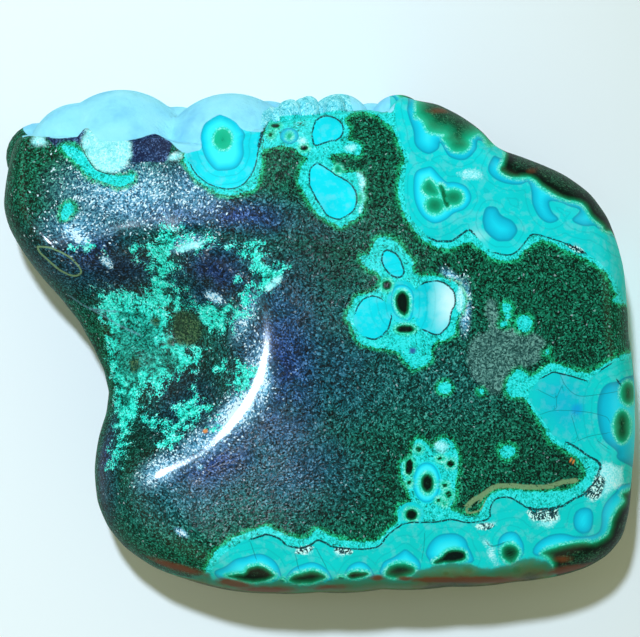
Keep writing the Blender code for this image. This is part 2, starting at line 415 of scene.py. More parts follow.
# The granular turquoise fringe round the clean mineral, and single grains of it in the malachite.
FRINGE = [
    Area((
        (10.9, 33.0), (11.5, 31.2), (12.2, 29.4), (12.9, 27.5), (12.4, 25.6), (12.0, 23.2), (12.4, 20.2),
        (13.2, 18.5), (14.2, 16.9), (15.5, 15.3), (17.0, 14.5), (18.2, 14.1), (20.3, 14.1), (22.3, 14.8),
        (23.2, 14.8), (24.6, 13.6), (26.4, 12.4), (29.3, 12.3), (30.6, 13.4), (31.9, 14.5), (33.5, 15.2),
        (35.3, 14.7), (36.1, 14.2), (37.2, 13.7), (39.3, 12.7), (41.0, 11.9), (42.9, 10.5), (43.9, 8.9),
        (44.8, 7.0), (46.0, 5.6), (66.0, 5.0), (64.0, 30.0), (40.0, 52.0), (18.0, 60.0), (11.6, 50.0),
        (11.2, 40.0), (10.6, 35.0),
    )),
    Area((
        (-20.1, 28.2), (-19.8, 26.2), (-18.0, 24.0), (-15.8, 22.6), (-14.8, 22.1), (-12.0, 22.0),
        (-10.0, 22.9), (-9.2, 23.7), (-8.7, 26.4), (-8.4, 29.0), (-8.3, 31.2), (-11.0, 32.0),
        (-14.0, 34.1), (-18.0, 31.5), (-18.4, 29.3),
    )),
    Area((
        (-38.6, 29.2), (-36.4, 26.9), (-35.4, 25.9), (-34.6, 24.7), (-31.5, 23.7), (-30.0, 23.2),
        (-27.9, 23.9), (-27.9, 25.1), (-29.6, 24.8), (-31.0, 24.95), (-33.2, 25.6), (-34.2, 26.7),
        (-35.0, 28.0), (-35.9, 28.7), (-37.2, 29.3),
    )),
    Area((
        (-8.1, 31.0), (-8.4, 29.4), (-7.9, 28.8), (-5.5, 29.3), (-3.6, 28.8), (-2.2, 27.7), (-1.5, 27.3),
        (-2.3, 26.5), (-3.1, 24.0), (-2.3, 22.6), (-1.3, 20.7), (0.6, 18.5), (2.3, 17.7), (3.4, 17.1),
        (4.8, 18.0), (6.3, 19.2), (6.9, 21.0), (6.5, 23.2), (6.8, 24.2), (5.8, 25.3), (3.7, 25.2),
        (2.2, 26.4), (1.9, 27.9), (4.0, 28.2), (6.0, 28.0), (6.2, 29.4), (4.4, 30.2), (4.6, 31.7),
        (3.8, 33.2), (5.4, 34.4), (7.9, 34.2), (10.0, 32.9), (11.0, 32.4), (11.2, 33.6), (8.6, 35.0),
        (4.5, 35.2), (-1.0, 34.6), (-6.2, 34.2), (-7.8, 33.0),
    )),
    Area((
        (8.8, 15.3), (10.2, 15.6), (11.8, 14.8), (13.0, 13.3), (14.0, 12.0), (14.1, 10.4), (15.6, 9.8),
        (17.5, 9.7), (19.5, 9.2), (21.0, 8.2), (21.9, 6.5), (21.5, 4.7), (20.7, 3.0), (20.2, 1.2),
        (18.7, 0.2), (17.8, 0.2), (16.9, -1.3), (16.8, -2.9), (15.5, -3.8), (14.1, -4.2), (13.0, -3.0),
        (11.9, -1.6), (10.4, -1.2), (8.5, -0.8), (6.5, -0.4), (5.4, 1.0), (5.0, 2.6), (4.2, 3.4),
        (4.8, 5.0), (5.6, 6.5), (7.4, 7.2), (9.0, 8.0), (9.3, 8.8), (9.0, 10.4), (7.4, 10.9), (6.2, 12.5),
        (7.7, 13.4),
    )),
    Area((
        (46.5, -1.9), (45.2, -2.3), (43.5, -3.1), (42.0, -3.9), (40.6, -4.8), (39.3, -4.7), (37.5, -4.1),
        (35.0, -3.4), (33.6, -4.3), (32.5, -5.2), (31.5, -5.2), (30.0, -4.2), (28.7, -5.5), (28.2, -7.2),
        (29.0, -8.3), (30.3, -8.4), (31.0, -8.6), (32.0, -10.2), (33.1, -11.9), (34.0, -13.5),
        (34.9, -15.0), (36.5, -16.0), (38.3, -17.0), (39.6, -18.4), (40.1, -20.2), (37.8, -22.1),
        (34.5, -22.6), (31.5, -22.6), (29.0, -22.3), (26.8, -22.6), (25.2, -23.6), (24.6, -25.2),
        (23.8, -26.0), (22.0, -26.1), (19.8, -25.2), (20.4, -23.5), (20.4, -21.3), (20.8, -19.3),
        (20.9, -17.5), (20.0, -15.0), (18.3, -14.5), (17.1, -16.0), (16.3, -15.4), (15.5, -14.8),
        (14.4, -15.0), (14.0, -17.1), (12.5, -18.2), (12.3, -19.6), (13.1, -21.4), (13.6, -22.6),
        (13.7, -24.0), (12.1, -24.8), (11.8, -25.6), (11.9, -26.9), (10.6, -28.2), (9.3, -29.6),
        (8.0, -30.1), (4.2, -30.0), (2.2, -29.5), (1.0, -28.7), (-0.2, -28.2), (-0.7, -28.5),
        (-1.8, -29.5), (-3.8, -29.6), (-6.0, -28.6), (-7.5, -27.9), (-9.5, -28.3), (-11.6, -29.1),
        (-13.5, -30.1), (-15.2, -31.5), (-16.6, -33.5), (-17.0, -35.0), (-17.6, -38.0), (-18.4, -60.0),
        (20.0, -68.0), (68.0, -60.0), (68.0, -1.0),
    )),
    Oval(30.8, 2.6, 1.1, 1.3),
    Oval(27.7, 2.6, 0.5, 0.5),
    Oval(28.2, 5.0, 0.7, 0.6),
    Oval(34.3, -1.7, 0.4, 0.4),
    Oval(28.3, -16.5, 1.1, 1.0),
    Oval(18.9, -7.0, 1.0, 0.8),
    Oval(32.5, -23.7, 0.6, 0.5),
    Oval(-37.5, 19.8, 1.0, 0.9),
    Oval(-38.1, 18.9, 0.5, 0.8, turn=-20.0),
    Oval(28.4, 3.9, 0.4, 0.35),
    Oval(24.5, -7.5, 0.45, 0.35),
    Oval(10.8, -29.5, 0.9, 0.6),
]

# Turquoise that grew as fine, moss-like dendrites through the malachite.
DENDRITE = [
    Area((
        (-24.2, 15.5), (-24.0, 16.5), (-23.5, 17.5), (-22.8, 17.7), (-21.3, 17.1), (-21.2, 15.6),
        (-19.0, 15.3), (-16.0, 15.5), (-18.4, 13.9), (-20.0, 13.2), (-21.9, 13.0), (-21.7, 11.0),
        (-22.3, 10.0), (-22.5, 7.4), (-21.0, 6.3), (-19.0, 6.0), (-19.4, 4.6), (-22.3, 4.6), (-25.6, 4.6),
        (-28.5, 4.8), (-30.5, 5.2), (-30.2, 7.4), (-27.2, 7.4), (-25.5, 8.5), (-25.0, 9.8), (-25.9, 11.7),
        (-25.0, 12.2), (-25.8, 13.9),
    )),
    Area((
        (-18.7, 5.0), (-17.6, 3.0), (-16.5, 1.2), (-15.0, 1.2), (-13.3, 1.7), (-13.0, 4.0), (-12.0, 3.4),
        (-11.0, 3.8), (-9.9, 5.4), (-8.6, 7.0), (-6.6, 7.9), (-5.6, 9.4), (-4.9, 10.9), (-7.3, 11.6),
        (-8.4, 12.6), (-8.3, 14.2), (-9.3, 15.5), (-10.2, 14.6), (-11.8, 13.9), (-11.2, 12.7),
        (-10.0, 11.8), (-9.6, 8.7), (-10.8, 7.8), (-12.0, 6.3), (-13.5, 5.4), (-17.0, 5.5),
    )),
    Area((
        (-34.0, 7.0), (-31.0, 7.2), (-28.0, 6.2), (-23.5, 5.0), (-22.5, 2.5), (-22.0, 0.0), (-20.0, -0.6),
        (-19.5, -1.7), (-17.3, -1.4), (-18.0, -3.7), (-20.6, -5.0), (-23.2, -6.2), (-24.3, -7.8),
        (-25.6, -9.1), (-26.0, -7.2), (-28.5, -8.3), (-27.5, -11.0), (-28.5, -12.5), (-28.6, -14.5),
        (-29.2, -16.5), (-30.0, -18.8), (-31.6, -19.2), (-30.8, -18.0), (-31.3, -16.5), (-30.2, -14.0),
        (-32.5, -13.5), (-35.0, -9.0), (-35.5, -5.5), (-36.0, -2.5), (-35.0, 2.0), (-35.5, 4.5),
    )),
    Area((
        (-18.9, -7.7), (-18.2, -8.0), (-18.0, -10.5), (-18.5, -12.3), (-21.3, -12.0), (-21.0, -9.8),
    )),
    Area((
        (-26.8, -11.2), (-24.5, -11.6), (-22.0, -12.0), (-19.5, -13.2), (-21.5, -13.6), (-25.0, -13.0),
    )),
    Oval(-14.5, -4.1, 1.1, 0.8),
    Area(((-12.1, -3.0), (-9.3, -4.2), (-9.6, -6.6), (-11.5, -7.9), (-13.0, -7.0), (-12.6, -5.0))),
    Oval(-15.4, -12.9, 1.1, 1.0),
    Oval(-16.5, -10.2, 0.8, 0.7),
    Oval(-22.0, -15.0, 2.2, 0.7, turn=20.0),
    Oval(-12.6, 14.1, 0.5, 0.5),
    Oval(-21.1, 8.0, 0.5, 0.4),
    Oval(-27.6, 13.8, 0.6, 0.5),
    Oval(-26.6, 13.2, 0.35, 0.3),
    Oval(-36.5, 13.8, 0.35, 0.3),
    Oval(-33.6, 14.1, 0.7, 0.6),
    Oval(-11.4, 9.1, 0.6, 0.4),
]

# Azure rings. The value is how far the azure fades inwards, in millimetres.
AZURE = [
    Area((
        (14.2, 23.3), (14.6, 25.4), (16.2, 26.1), (17.0, 26.1), (18.2, 24.8), (19.2, 23.85), (20.3, 23.9),
        (22.1, 23.2), (22.9, 21.5), (22.0, 19.9), (20.3, 19.2), (19.0, 18.2), (17.3, 17.7), (15.6, 18.7),
        (14.5, 20.8),
    ), value=1.1),
    Area((
        (24.6, 18.5), (25.1, 20.0), (25.9, 20.2), (26.7, 20.0), (27.4, 18.9), (29.1, 18.0), (29.8, 16.5),
        (28.8, 15.15), (27.8, 15.0), (26.6, 15.1), (25.1, 16.4), (24.7, 17.4),
    ), value=3.5),
    Area((
        (-17.8, 30.9), (-17.1, 32.7), (-15.3, 33.9), (-14.3, 33.95), (-12.4, 33.0), (-11.2, 31.3),
        (-11.1, 30.6), (-11.35, 29.7), (-11.3, 27.8), (-12.4, 26.0), (-14.5, 25.6), (-15.6, 25.8),
        (-16.9, 27.4), (-17.6, 29.4),
    ), value=1.2),
    Area((
        (10.9, 5.8), (11.3, 8.0), (12.8, 8.45), (14.1, 7.4), (14.2, 5.0), (13.8, 3.3), (13.0, 3.1),
        (11.5, 4.0),
    ), value=0.6),
    Oval(16.2, -21.2, 2.0, 3.0, value=0.6),
    Area((
        (13.5, 38.0), (13.3, 34.5), (14.2, 31.6), (14.5, 29.4), (16.3, 28.1), (17.9, 28.8), (18.3, 29.8),
        (19.6, 27.7), (21.9, 27.2), (23.6, 28.7), (23.9, 30.1), (25.6, 30.0), (28.0, 33.0), (40.0, 50.0),
        (14.0, 60.0),
    ), value=2.4),
    Area((
        (27.9, 28.3), (26.3, 27.8), (25.4, 25.8), (26.4, 24.4), (28.3, 23.6), (30.3, 23.5), (31.4, 23.9),
        (31.9, 22.5), (32.1, 20.5), (33.1, 18.6), (34.6, 17.7), (36.0, 18.3), (35.0, 19.4), (34.6, 20.9),
        (36.0, 20.9), (37.5, 20.3), (39.2, 19.6), (38.0, 18.2), (39.7, 17.3), (41.5, 17.3), (42.4, 16.7),
        (50.0, 14.0), (62.0, 25.0), (46.0, 48.0), (29.0, 40.0),
    ), value=2.4),
    Area((
        (44.9, -6.0), (43.5, -6.3), (42.5, -7.2), (41.8, -9.5), (42.0, -12.5), (42.8, -14.8),
        (44.7, -16.5), (46.3, -18.5), (62.0, -24.0), (62.0, -4.0), (48.0, -5.0),
    ), value=6.0),
    Oval(-4.4, 30.8, 1.4, 1.2, value=1.5),
    Oval(15.0, -16.2, 0.75, 0.75, value=0.5),
    Oval(19.8, -18.4, 0.85, 0.85, value=0.5),
    Area((
        (46.6, -21.3), (44.6, -22.6), (43.1, -24.2), (42.45, -25.8), (42.4, -27.2), (42.0, -28.6),
        (40.6, -29.2), (38.6, -29.3), (36.8, -28.85), (35.0, -29.0), (33.5, -29.7), (32.4, -30.7),
        (32.15, -31.8), (33.0, -32.4), (35.0, -33.0), (36.0, -46.0), (62.0, -46.0), (62.0, -20.0),
    ), value=1.8),
    Area((
        (38.3, -26.2), (38.8, -25.3), (40.0, -24.95), (40.9, -25.3), (41.2, -26.2), (41.1, -27.6),
        (40.6, -28.7), (39.4, -28.8), (38.5, -28.2), (38.2, -27.2),
    ), value=2.4),
    Area((
        (26.9, -30.1), (27.6, -29.0), (28.6, -28.55), (29.6, -28.7), (30.4, -29.7), (30.8, -30.8),
        (30.6, -32.2), (29.6, -33.4), (28.0, -33.4), (27.0, -32.0),
    ), value=1.5),
    Area((
        (-15.6, -34.6), (-14.0, -33.8), (-12.5, -32.7), (-11.0, -32.35), (-9.6, -31.95), (-8.4, -31.95),
        (-7.2, -32.5), (-6.2, -33.5), (-5.7, -34.8), (-5.6, -35.8), (-7.0, -36.0), (-10.0, -36.2),
        (-14.5, -35.8),
    ), value=1.6),
    Area((
        (-4.9, -35.9), (-4.6, -34.9), (-3.8, -34.1), (-2.6, -33.5), (-1.2, -33.15), (0.0, -33.4),
        (1.2, -34.2), (1.85, -35.2), (1.9, -35.9), (0.0, -36.3), (-3.0, -36.5),
    ), value=1.2),
    Area((
        (3.8, -35.6), (3.95, -34.7), (4.6, -33.7), (5.6, -33.15), (6.6, -33.15), (7.5, -33.7),
        (8.15, -34.7), (8.2, -35.4), (6.0, -35.8),
    ), value=1.2),
    Area((
        (9.3, -35.0), (9.4, -33.8), (9.9, -33.0), (11.2, -32.4), (12.2, -31.7), (13.0, -31.2),
        (13.9, -31.8), (14.9, -32.7), (15.3, -33.6), (15.0, -34.4), (12.5, -35.6),
    ), value=1.5),
    Area((
        (16.2, -31.2), (16.8, -30.1), (17.8, -29.2), (19.2, -28.85), (20.8, -28.9), (22.0, -29.7),
        (22.5, -30.9), (23.0, -31.9), (23.3, -33.0), (22.3, -33.4), (17.4, -33.7), (16.6, -32.9),
        (16.1, -32.0),
    ), value=1.9),
]

# Green cores in the middle of the eyes, which darken inwards over the value in millimetres.
CORE = [
    Oval(-14.4, 30.3, 1.25, 1.5, value=25.0),
    Area(((15.6, 23.0), (16.5, 24.25), (17.6, 23.1), (18.1, 21.9), (16.4, 22.0)), value=4.0),
    Oval(17.4, 20.4, 1.3, 1.2, value=4.0),
    Oval(20.2, 21.6, 1.4, 1.15, value=4.0),
    Area(((18.0, 23.3), (18.8, 23.1), (19.7, 20.6), (19.1, 20.0), (18.5, 21.4)), value=0.7),
    Area(((11.5, 6.5), (12.2, 7.6), (13.4, 7.0), (13.6, 5.0), (13.0, 3.7), (11.8, 4.7)), value=0.5),
    Oval(13.0, 1.8, 1.5, 0.65, value=0.5),
    Oval(10.2, 8.4, 0.75, 0.8, value=0.4),
    Oval(21.0, 29.7, 1.6, 1.3, value=5.0),
    Area((
        (14.7, 36.0), (14.6, 34.1), (15.7, 33.0), (16.5, 31.5), (18.9, 31.0), (18.7, 30.4), (20.1, 28.9),
        (21.4, 28.5), (22.6, 29.5), (22.5, 30.2), (23.9, 31.2), (24.6, 30.9), (27.0, 30.4), (36.0, 46.0),
        (15.0, 60.0),
    ), value=6.0),
    Area((
        (28.0, 28.0), (27.2, 26.0), (27.6, 25.2), (29.4, 24.5), (31.8, 24.5), (33.5, 23.1), (35.0, 22.2),
        (36.8, 21.3), (38.8, 20.9), (39.9, 20.3), (40.9, 18.6), (42.7, 17.2), (43.3, 16.5), (50.0, 16.0),
        (60.0, 26.0), (46.0, 46.0), (30.0, 38.0),
    ), value=0.8),
    Oval(46.4, -7.8, 1.1, 1.7, value=2.5),
    Oval(45.5, -12.8, 1.2, 2.4, value=2.5),
    Oval(16.3, -21.3, 1.0, 1.55, value=0.6),
    Oval(15.0, -16.2, 0.5, 0.5, value=0.3),
    Oval(19.8, -18.4, 0.65, 0.6, value=0.3),
    Oval(13.6, -18.8, 0.62, 1.35, turn=-5.0, value=0.35),
    Oval(13.9, -26.0, 0.95, 0.9, value=0.4),
    Oval(18.2, -17.6, 0.42, 0.4, value=0.3),
    Oval(18.9, -21.6, 0.45, 0.42, value=0.3),
    Oval(19.5, -23.0, 0.48, 0.72, turn=20.0, value=0.3),
    Oval(18.0, -23.9, 0.45, 0.32, value=0.3),
    Oval(18.9, -24.4, 0.32, 0.32, value=0.3),
    Oval(13.6, -21.2, 0.35, 0.45, value=0.3),
    Oval(-4.4, 30.8, 0.4, 0.4, value=4.0),
    Oval(-6.5, 32.3, 0.7, 0.4, value=0.3),
    Oval(-7.2, 31.0, 0.4, 0.4, value=0.3),
    Oval(-2.2, 29.0, 0.65, 0.42, value=0.3),
    Oval(2.9, 25.8, 0.5, 0.5, value=1.5),
    Oval(6.3, 21.5, 0.4, 0.6, value=2.6),
    Area((
        (-13.9, -35.2), (-12.3, -34.9), (-11.2, -34.75), (-10.6, -34.0), (-9.6, -33.75), (-8.7, -33.7),
        (-7.8, -34.1), (-7.0, -34.7), (-6.5, -35.2), (-7.6, -35.8), (-9.2, -36.2), (-11.0, -36.15),
        (-13.0, -35.6),
    ), value=0.7),
    Area((
        (-4.5, -35.8), (-3.6, -35.0), (-2.0, -34.55), (-0.9, -34.4), (0.2, -34.7), (1.1, -35.4),
        (0.2, -35.9), (-1.0, -36.3), (-2.8, -36.4), (-4.0, -36.2),
    ), value=0.9),
    Area((
        (4.2, -35.3), (4.8, -34.7), (6.0, -34.5), (7.2, -34.7), (7.5, -35.0), (6.4, -35.5), (5.0, -35.7),
    ), value=0.5),
    Area((
        (10.0, -35.0), (10.4, -34.0), (11.4, -33.4), (12.6, -33.25), (13.8, -33.6), (14.5, -34.1),
        (14.2, -34.9), (12.6, -35.5), (10.8, -35.5),
    ), value=1.1),
    Area((
        (17.2, -33.1), (18.2, -32.4), (19.2, -31.5), (20.2, -31.2), (21.5, -31.4), (22.1, -31.9),
        (22.0, -32.8), (20.6, -33.2), (19.0, -33.3), (17.6, -33.5),
    ), value=0.5),
    Area((
        (27.4, -31.2), (28.0, -30.5), (29.2, -30.5), (30.0, -31.2), (30.1, -31.9), (29.6, -32.8),
        (29.0, -33.5), (28.2, -33.0), (27.5, -32.4),
    ), value=1.2),
    Area((
        (33.4, -31.9), (34.0, -31.4), (35.2, -31.0), (37.5, -30.4), (39.5, -30.1), (41.2, -30.2),
        (42.4, -29.7), (43.4, -28.9), (43.8, -27.6), (44.2, -26.4), (44.9, -25.2), (45.9, -24.0),
        (46.6, -22.4), (60.0, -21.0), (60.0, -46.0), (35.2, -46.0), (35.2, -34.4), (35.0, -33.4),
        (34.4, -32.4),
    ), value=1.0),
    Area(((21.5, -34.3), (22.0, -33.7), (23.0, -33.9), (23.2, -34.4), (22.3, -34.6)), value=0.4),
    Oval(29.7, -34.3, 0.6, 0.6, value=0.4),
    Oval(-5.5, -36.0, 0.35, 0.3, value=0.4),
    Oval(3.4, -35.6, 0.5, 0.25, value=0.4),
    Oval(19.1, -34.8, 0.5, 0.3, value=0.4),
]

# Navy-violet malachite patches between the polished caps of the far side.
NAVY = [
    Area((
        (-41.9, 31.3), (-41.0, 31.9), (-40.3, 31.2), (-37.5, 31.2), (-36.2, 31.8), (-34.8, 32.8),
        (-34.8, 31.4), (-35.6, 30.2), (-35.4, 28.8), (-35.9, 28.7), (-37.0, 29.1), (-39.5, 29.1),
        (-40.1, 29.8), (-41.0, 30.6),
    )),
    Area((
        (-28.7, 30.8), (-27.0, 31.2), (-24.3, 32.0), (-23.0, 31.2), (-21.9, 30.6), (-22.1, 29.3),
        (-22.4, 28.3), (-23.0, 26.9), (-26.5, 26.9), (-27.6, 26.2), (-29.1, 25.5), (-28.2, 27.4),
        (-28.0, 28.6),
    )),
]

# Whitish, chalky places, and the pale polished cap of the largest botryoid, whose paleness is partly
# painted glare.
PALE_CAP = Area((
    (-34.7, 32.6), (-33.0, 31.0), (-32.0, 30.7), (-28.7, 30.8), (-28.1, 28.3), (-28.8, 26.3),
    (-30.2, 25.1), (-31.0, 24.95), (-33.2, 25.6), (-34.2, 26.7), (-35.0, 28.0), (-35.6, 29.3),
    (-35.3, 31.3),
))
PALE = [
    PALE_CAP,
    Area((
        (-42.6, 31.3), (-41.4, 31.2), (-40.4, 30.0), (-39.8, 29.2), (-40.8, 29.5), (-42.2, 29.2),
        (-43.2, 29.4), (-43.0, 30.4),
    )),
    Area(((20.8, 25.1), (22.8, 25.9), (24.4, 25.3), (23.9, 24.2), (22.0, 24.4))),
    Area(((32.9, -25.6), (35.8, -25.4), (36.0, -27.0), (34.6, -28.2), (33.0, -27.2))),
    Area((
        (42.3, -18.4), (45.0, -18.8), (45.8, -20.8), (44.2, -22.5), (42.6, -23.6), (40.4, -23.9),
        (41.6, -21.8),
    )),
    Oval(25.1, -27.7, 1.3, 0.5, turn=10.0),
    Oval(3.6, -31.6, 1.3, 0.5),
    Oval(-2.0, -31.4, 1.3, 0.6),
    Oval(18.4, -15.9, 1.2, 1.0),
    Oval(-2.4, 29.9, 0.6, 0.5),
    Area(((24.8, -30.1), (25.7, -30.2), (26.8, -32.4), (27.2, -33.8), (26.3, -33.8), (25.7, -32.3))),
    Oval(-6.8, 8.6, 1.8, 0.6, turn=42.0),
    Oval(-19.4, 14.2, 2.2, 0.6, turn=15.0),
    Oval(4.8, 29.0, 0.8, 0.5),
    Area(((6.0, 19.2), (7.0, 20.8), (6.8, 22.8), (7.1, 24.4), (5.8, 25.4), (6.1, 23.4), (6.3, 21.4))),
    Oval(21.2, 6.4, 0.6, 2.0),
    Oval(-21.4, 27.7, 1.3, 0.6, turn=25.0),
]

# The natural, unpolished skin of the far side, the rough crust in its middle, and a greyish bruise and
# brownish places in the malachite.
SKIN = [
    Area((
        (-45.3, 31.2), (-44.6, 31.4), (-43.2, 31.05), (-42.0, 31.1), (-41.0, 31.5), (-40.3, 30.5),
        (-37.5, 30.5), (-36.2, 31.0), (-34.8, 32.2), (-33.0, 30.3), (-32.0, 30.0), (-28.7, 30.1),
        (-27.0, 30.4), (-24.3, 31.2), (-23.2, 30.4), (-22.3, 30.0), (-20.9, 28.6), (-20.0, 28.2),
        (-18.6, 28.5), (-17.6, 28.9), (-17.7, 30.9), (-17.1, 32.6), (-15.3, 33.8), (-14.3, 33.85),
        (-12.5, 32.9), (-11.3, 31.7), (-8.6, 31.4), (-8.2, 32.2), (-7.3, 33.5), (-6.0, 33.9),
        (-0.5, 34.1), (1.0, 34.5), (4.7, 35.0), (7.6, 35.3), (9.0, 35.2), (11.0, 34.3), (11.7, 37.3),
        (13.5, 48.0), (18.0, 62.0), (-60.0, 60.0), (-56.0, 42.0), (-48.5, 34.0),
    )),
]
CRUST = [
    Area((
        (-8.6, 31.6), (-7.3, 33.2), (-5.5, 33.8), (-0.5, 34.0), (1.0, 34.4), (4.9, 34.8), (6.4, 35.6),
        (5.4, 40.0), (4.4, 50.0), (-6.0, 50.0), (-7.6, 40.0), (-8.4, 35.0),
    )),
]
BRUISE = [
    Area((
        (25.1, 6.0), (26.4, 6.1), (26.9, 3.9), (27.3, 2.1), (31.5, 1.5), (34.0, -0.3), (32.7, -3.0),
        (31.0, -4.0), (29.3, -4.4), (27.6, -7.0), (26.0, -7.9), (23.3, -5.7), (22.3, -3.5), (22.4, -1.0),
        (23.8, 1.0), (25.6, 1.7), (25.2, 3.9),
    )),
]
OLIVE = [
    Area((
        (-22.5, 1.0), (-21.4, 4.0), (-19.6, 4.5), (-17.9, 3.2), (-17.8, 0.8), (-19.2, -0.4),
        (-21.4, -0.4),
    )),
    Oval(-29.9, -3.8, 1.0, 1.3),
    Oval(-18.4, 1.0, 0.6, 0.8),
    Oval(-23.0, -0.2, 0.7, 0.6),
    Oval(-25.6, 3.1, 0.8, 0.6),
    Oval(-6.4, 29.5, 0.5, 0.5),
]

# Chalky places with black crumbs along the seams.
CRUMB = [
    Area((
        (31.5, -25.4), (33.4, -25.6), (35.6, -25.2), (35.9, -26.0), (35.3, -26.9), (33.6, -26.9),
        (32.0, -26.6),
    )),
    Area((
        (41.6, -20.3), (42.9, -20.7), (42.6, -22.4), (41.6, -23.7), (40.2, -23.3), (39.7, -22.9),
        (41.2, -21.6),
    )),
    Oval(25.0, -27.8, 1.3, 0.45),
    Oval(3.7, -31.4, 1.4, 0.45, turn=-8.0),
    Oval(-2.1, -31.3, 1.3, 0.5, turn=15.0),
    Oval(38.6, 13.8, 1.5, 0.3, turn=-25.0),
]

# The band along the near edge where the cut surface rounds over into darker, rusty stone.
SIDE = [
    Area((
        (-17.3, -34.9), (-16.0, -35.7), (-14.0, -35.6), (-12.5, -36.0), (-10.0, -36.4), (-7.6, -36.1),
        (-6.0, -35.8), (-4.7, -36.1), (-3.0, -36.6), (-1.0, -36.5), (0.6, -36.0), (2.0, -35.8),
        (3.6, -35.6), (5.6, -35.8), (7.6, -35.5), (9.4, -35.3), (11.0, -35.7), (13.0, -35.6),
        (14.4, -34.9), (15.4, -34.2), (17.4, -33.7), (20.0, -33.3), (22.2, -33.3), (23.6, -33.7),
        (25.4, -34.2), (27.2, -33.7), (29.0, -33.6), (30.0, -33.0), (31.4, -32.5), (33.0, -32.6),
        (34.7, -33.0), (35.1, -34.0), (39.0, -40.0), (44.0, -46.0), (56.0, -60.0), (-52.0, -60.0),
        (-40.0, -46.0), (-27.0, -39.0),
    ), value=6.0),
]

# Where the malachite turns navy or grey, the navy partly a painted bluish sheen round the highlights,
# where it is darker, and where painted highlights glitter on its fibres.
NAVY_AND_PAINTED_SHEEN = [
    Spot(-9.0, -7.0, 3.0, 6.0, -25.0, 1.0),
    Spot(-15.0, -14.5, 6.5, 2.6, 38.0, 1.0),
    Spot(-22.0, 19.4, 9.0, 1.8, -4.0, 0.9),
    Spot(-34.0, 15.0, 4.0, 1.0, -10.0, 0.9),
    Spot(-19.0, 23.5, 3.0, 3.0, 0.0, 0.7),
    Spot(-6.0, -4.0, 5.5, 11.0, 0.0, 0.9),
    Spot(-13.0, 19.0, 9.0, 2.2, -8.0, 0.9),
    Spot(-16.0, 10.0, 4.5, 3.6, 0.0, 0.9),
    Spot(-34.0, 13.0, 6.0, 4.0, 0.0, 0.8),
    Spot(-30.0, 11.0, 5.0, 3.0, 0.0, 0.7),
    Spot(-16.0, -18.0, 7.0, 3.2, 20.0, 0.9),
    Spot(-32.6, -19.0, 1.6, 5.0, 0.0, 0.9),
    Spot(3.0, -3.0, 5.0, 8.0, 0.0, 0.45),
    Spot(-3.0, -19.0, 7.0, 5.0, 0.0, 0.5),
    Spot(-20.0, -9.0, 5.0, 6.0, 0.0, 0.5),
]
GREY_TINT = [
    Spot(-19.0, -23.5, 6.0, 3.5, 15.0, 0.75),
    Spot(-8.0, -18.0, 8.0, 5.0, 0.0, 0.4),
    Spot(18.0, -6.0, 8.0, 5.0, 0.0, 0.45),
]
# SHADE darkens the malachite: painted shade in the hollow, and darker places along the left edge and at two
# spots further right.
SHADE = [
    Spot(-20.0, -6.0, 4.5, 5.0, 0.0, 0.7),
    Spot(-30.0, 11.0, 4.0, 2.6, 0.0, 0.8),
    Spot(-15.5, 10.5, 4.0, 3.0, 0.0, 0.6),
    Spot(-24.5, -14.0, 5.0, 2.4, 30.0, 0.7),
    Spot(-33.0, -22.0, 1.6, 8.0, 0.0, 0.6),
    Spot(-43.0, 14.0, 2.2, 6.0, 35.0, 0.5),
    Spot(0.0, 13.0, 4.0, 3.5, 0.0, 0.5),
    Spot(33.5, -17.0, 4.0, 3.0, 0.0, 0.35),
]
# Painted highlights and glints: lighter, glittering malachite along the hollow's rim, on the far slope and
# on the disc's rim, where the lamps' reflections fall.
PAINTED_SPARKLE = [
    Spot(-29.0, 22.5, 6.5, 3.2, -5.0, 0.54),
    Spot(-19.0, 22.5, 3.2, 2.8, 0.0, 0.42),
    Spot(-36.0, 17.5, 3.6, 2.0, 0.0, 0.4),
    Spot(-9.0, -5.0, 1.2, 3.6, 0.0, 0.55),
    Spot(-11.5, -10.0, 3.6, 1.6, 45.0, 0.6),
    Spot(-17.0, -15.0, 3.6, 1.5, 35.0, 0.5),
    Spot(-23.6, -19.2, 2.6, 1.3, 35.0, 0.6),
    Spot(-11.0, 4.0, 0.9, 2.6, -20.0, 0.6),
    Spot(-8.3, -5.6, 0.6, 1.7, 0.0, 1.7),
    Spot(-12.4, -10.7, 2.3, 0.95, 47.0, 2.5),
    Spot(-20.0, 14.6, 1.8, 0.7, 20.0, 0.7),
    Spot(-36.4, 16.0, 1.3, 0.45, -30.0, 2.4),
    Spot(-31.8, 11.8, 0.45, 0.3, -20.0, 2.4),
    Spot(-15.6, 6.5, 0.8, 0.3, -25.0, 2.2),
    Spot(-20.6, -28.7, 0.6, 0.25, -30.0, 1.4),
    Spot(-23.1, -20.6, 0.3, 0.25, 0.0, 1.3),
    Spot(-17.8, -18.9, 0.3, 0.25, 0.0, 1.3),
    Spot(20.3, 9.0, 1.4, 0.5, -45.0, 1.1),
    Spot(21.9, 5.2, 0.5, 2.2, 0.0, 1.1),
]

# Where the surface is matt, so that the polish gives no highlight.
DULL = [
    Spot(-25.0, 17.6, 6.0, 1.7, 0.0, 1.0),
    Spot(-17.5, 14.6, 2.6, 1.7, -45.0, 1.1),
    Spot(-34.0, 17.0, 3.5, 1.7, 10.0, 0.9),
    Spot(-18.6, -16.0, 2.6, 1.3, 32.0, 1.15),
    Spot(-19.0, 16.6, 3.0, 1.6, -20.0, 1.3),
    Spot(-15.4, 13.0, 1.6, 1.8, -30.0, 1.2),
    Spot(-31.5, 26.8, 4.0, 2.0, 0.0, 1.1),
    Spot(-15.6, 30.2, 1.2, 1.2, 0.0, 1.2),
]
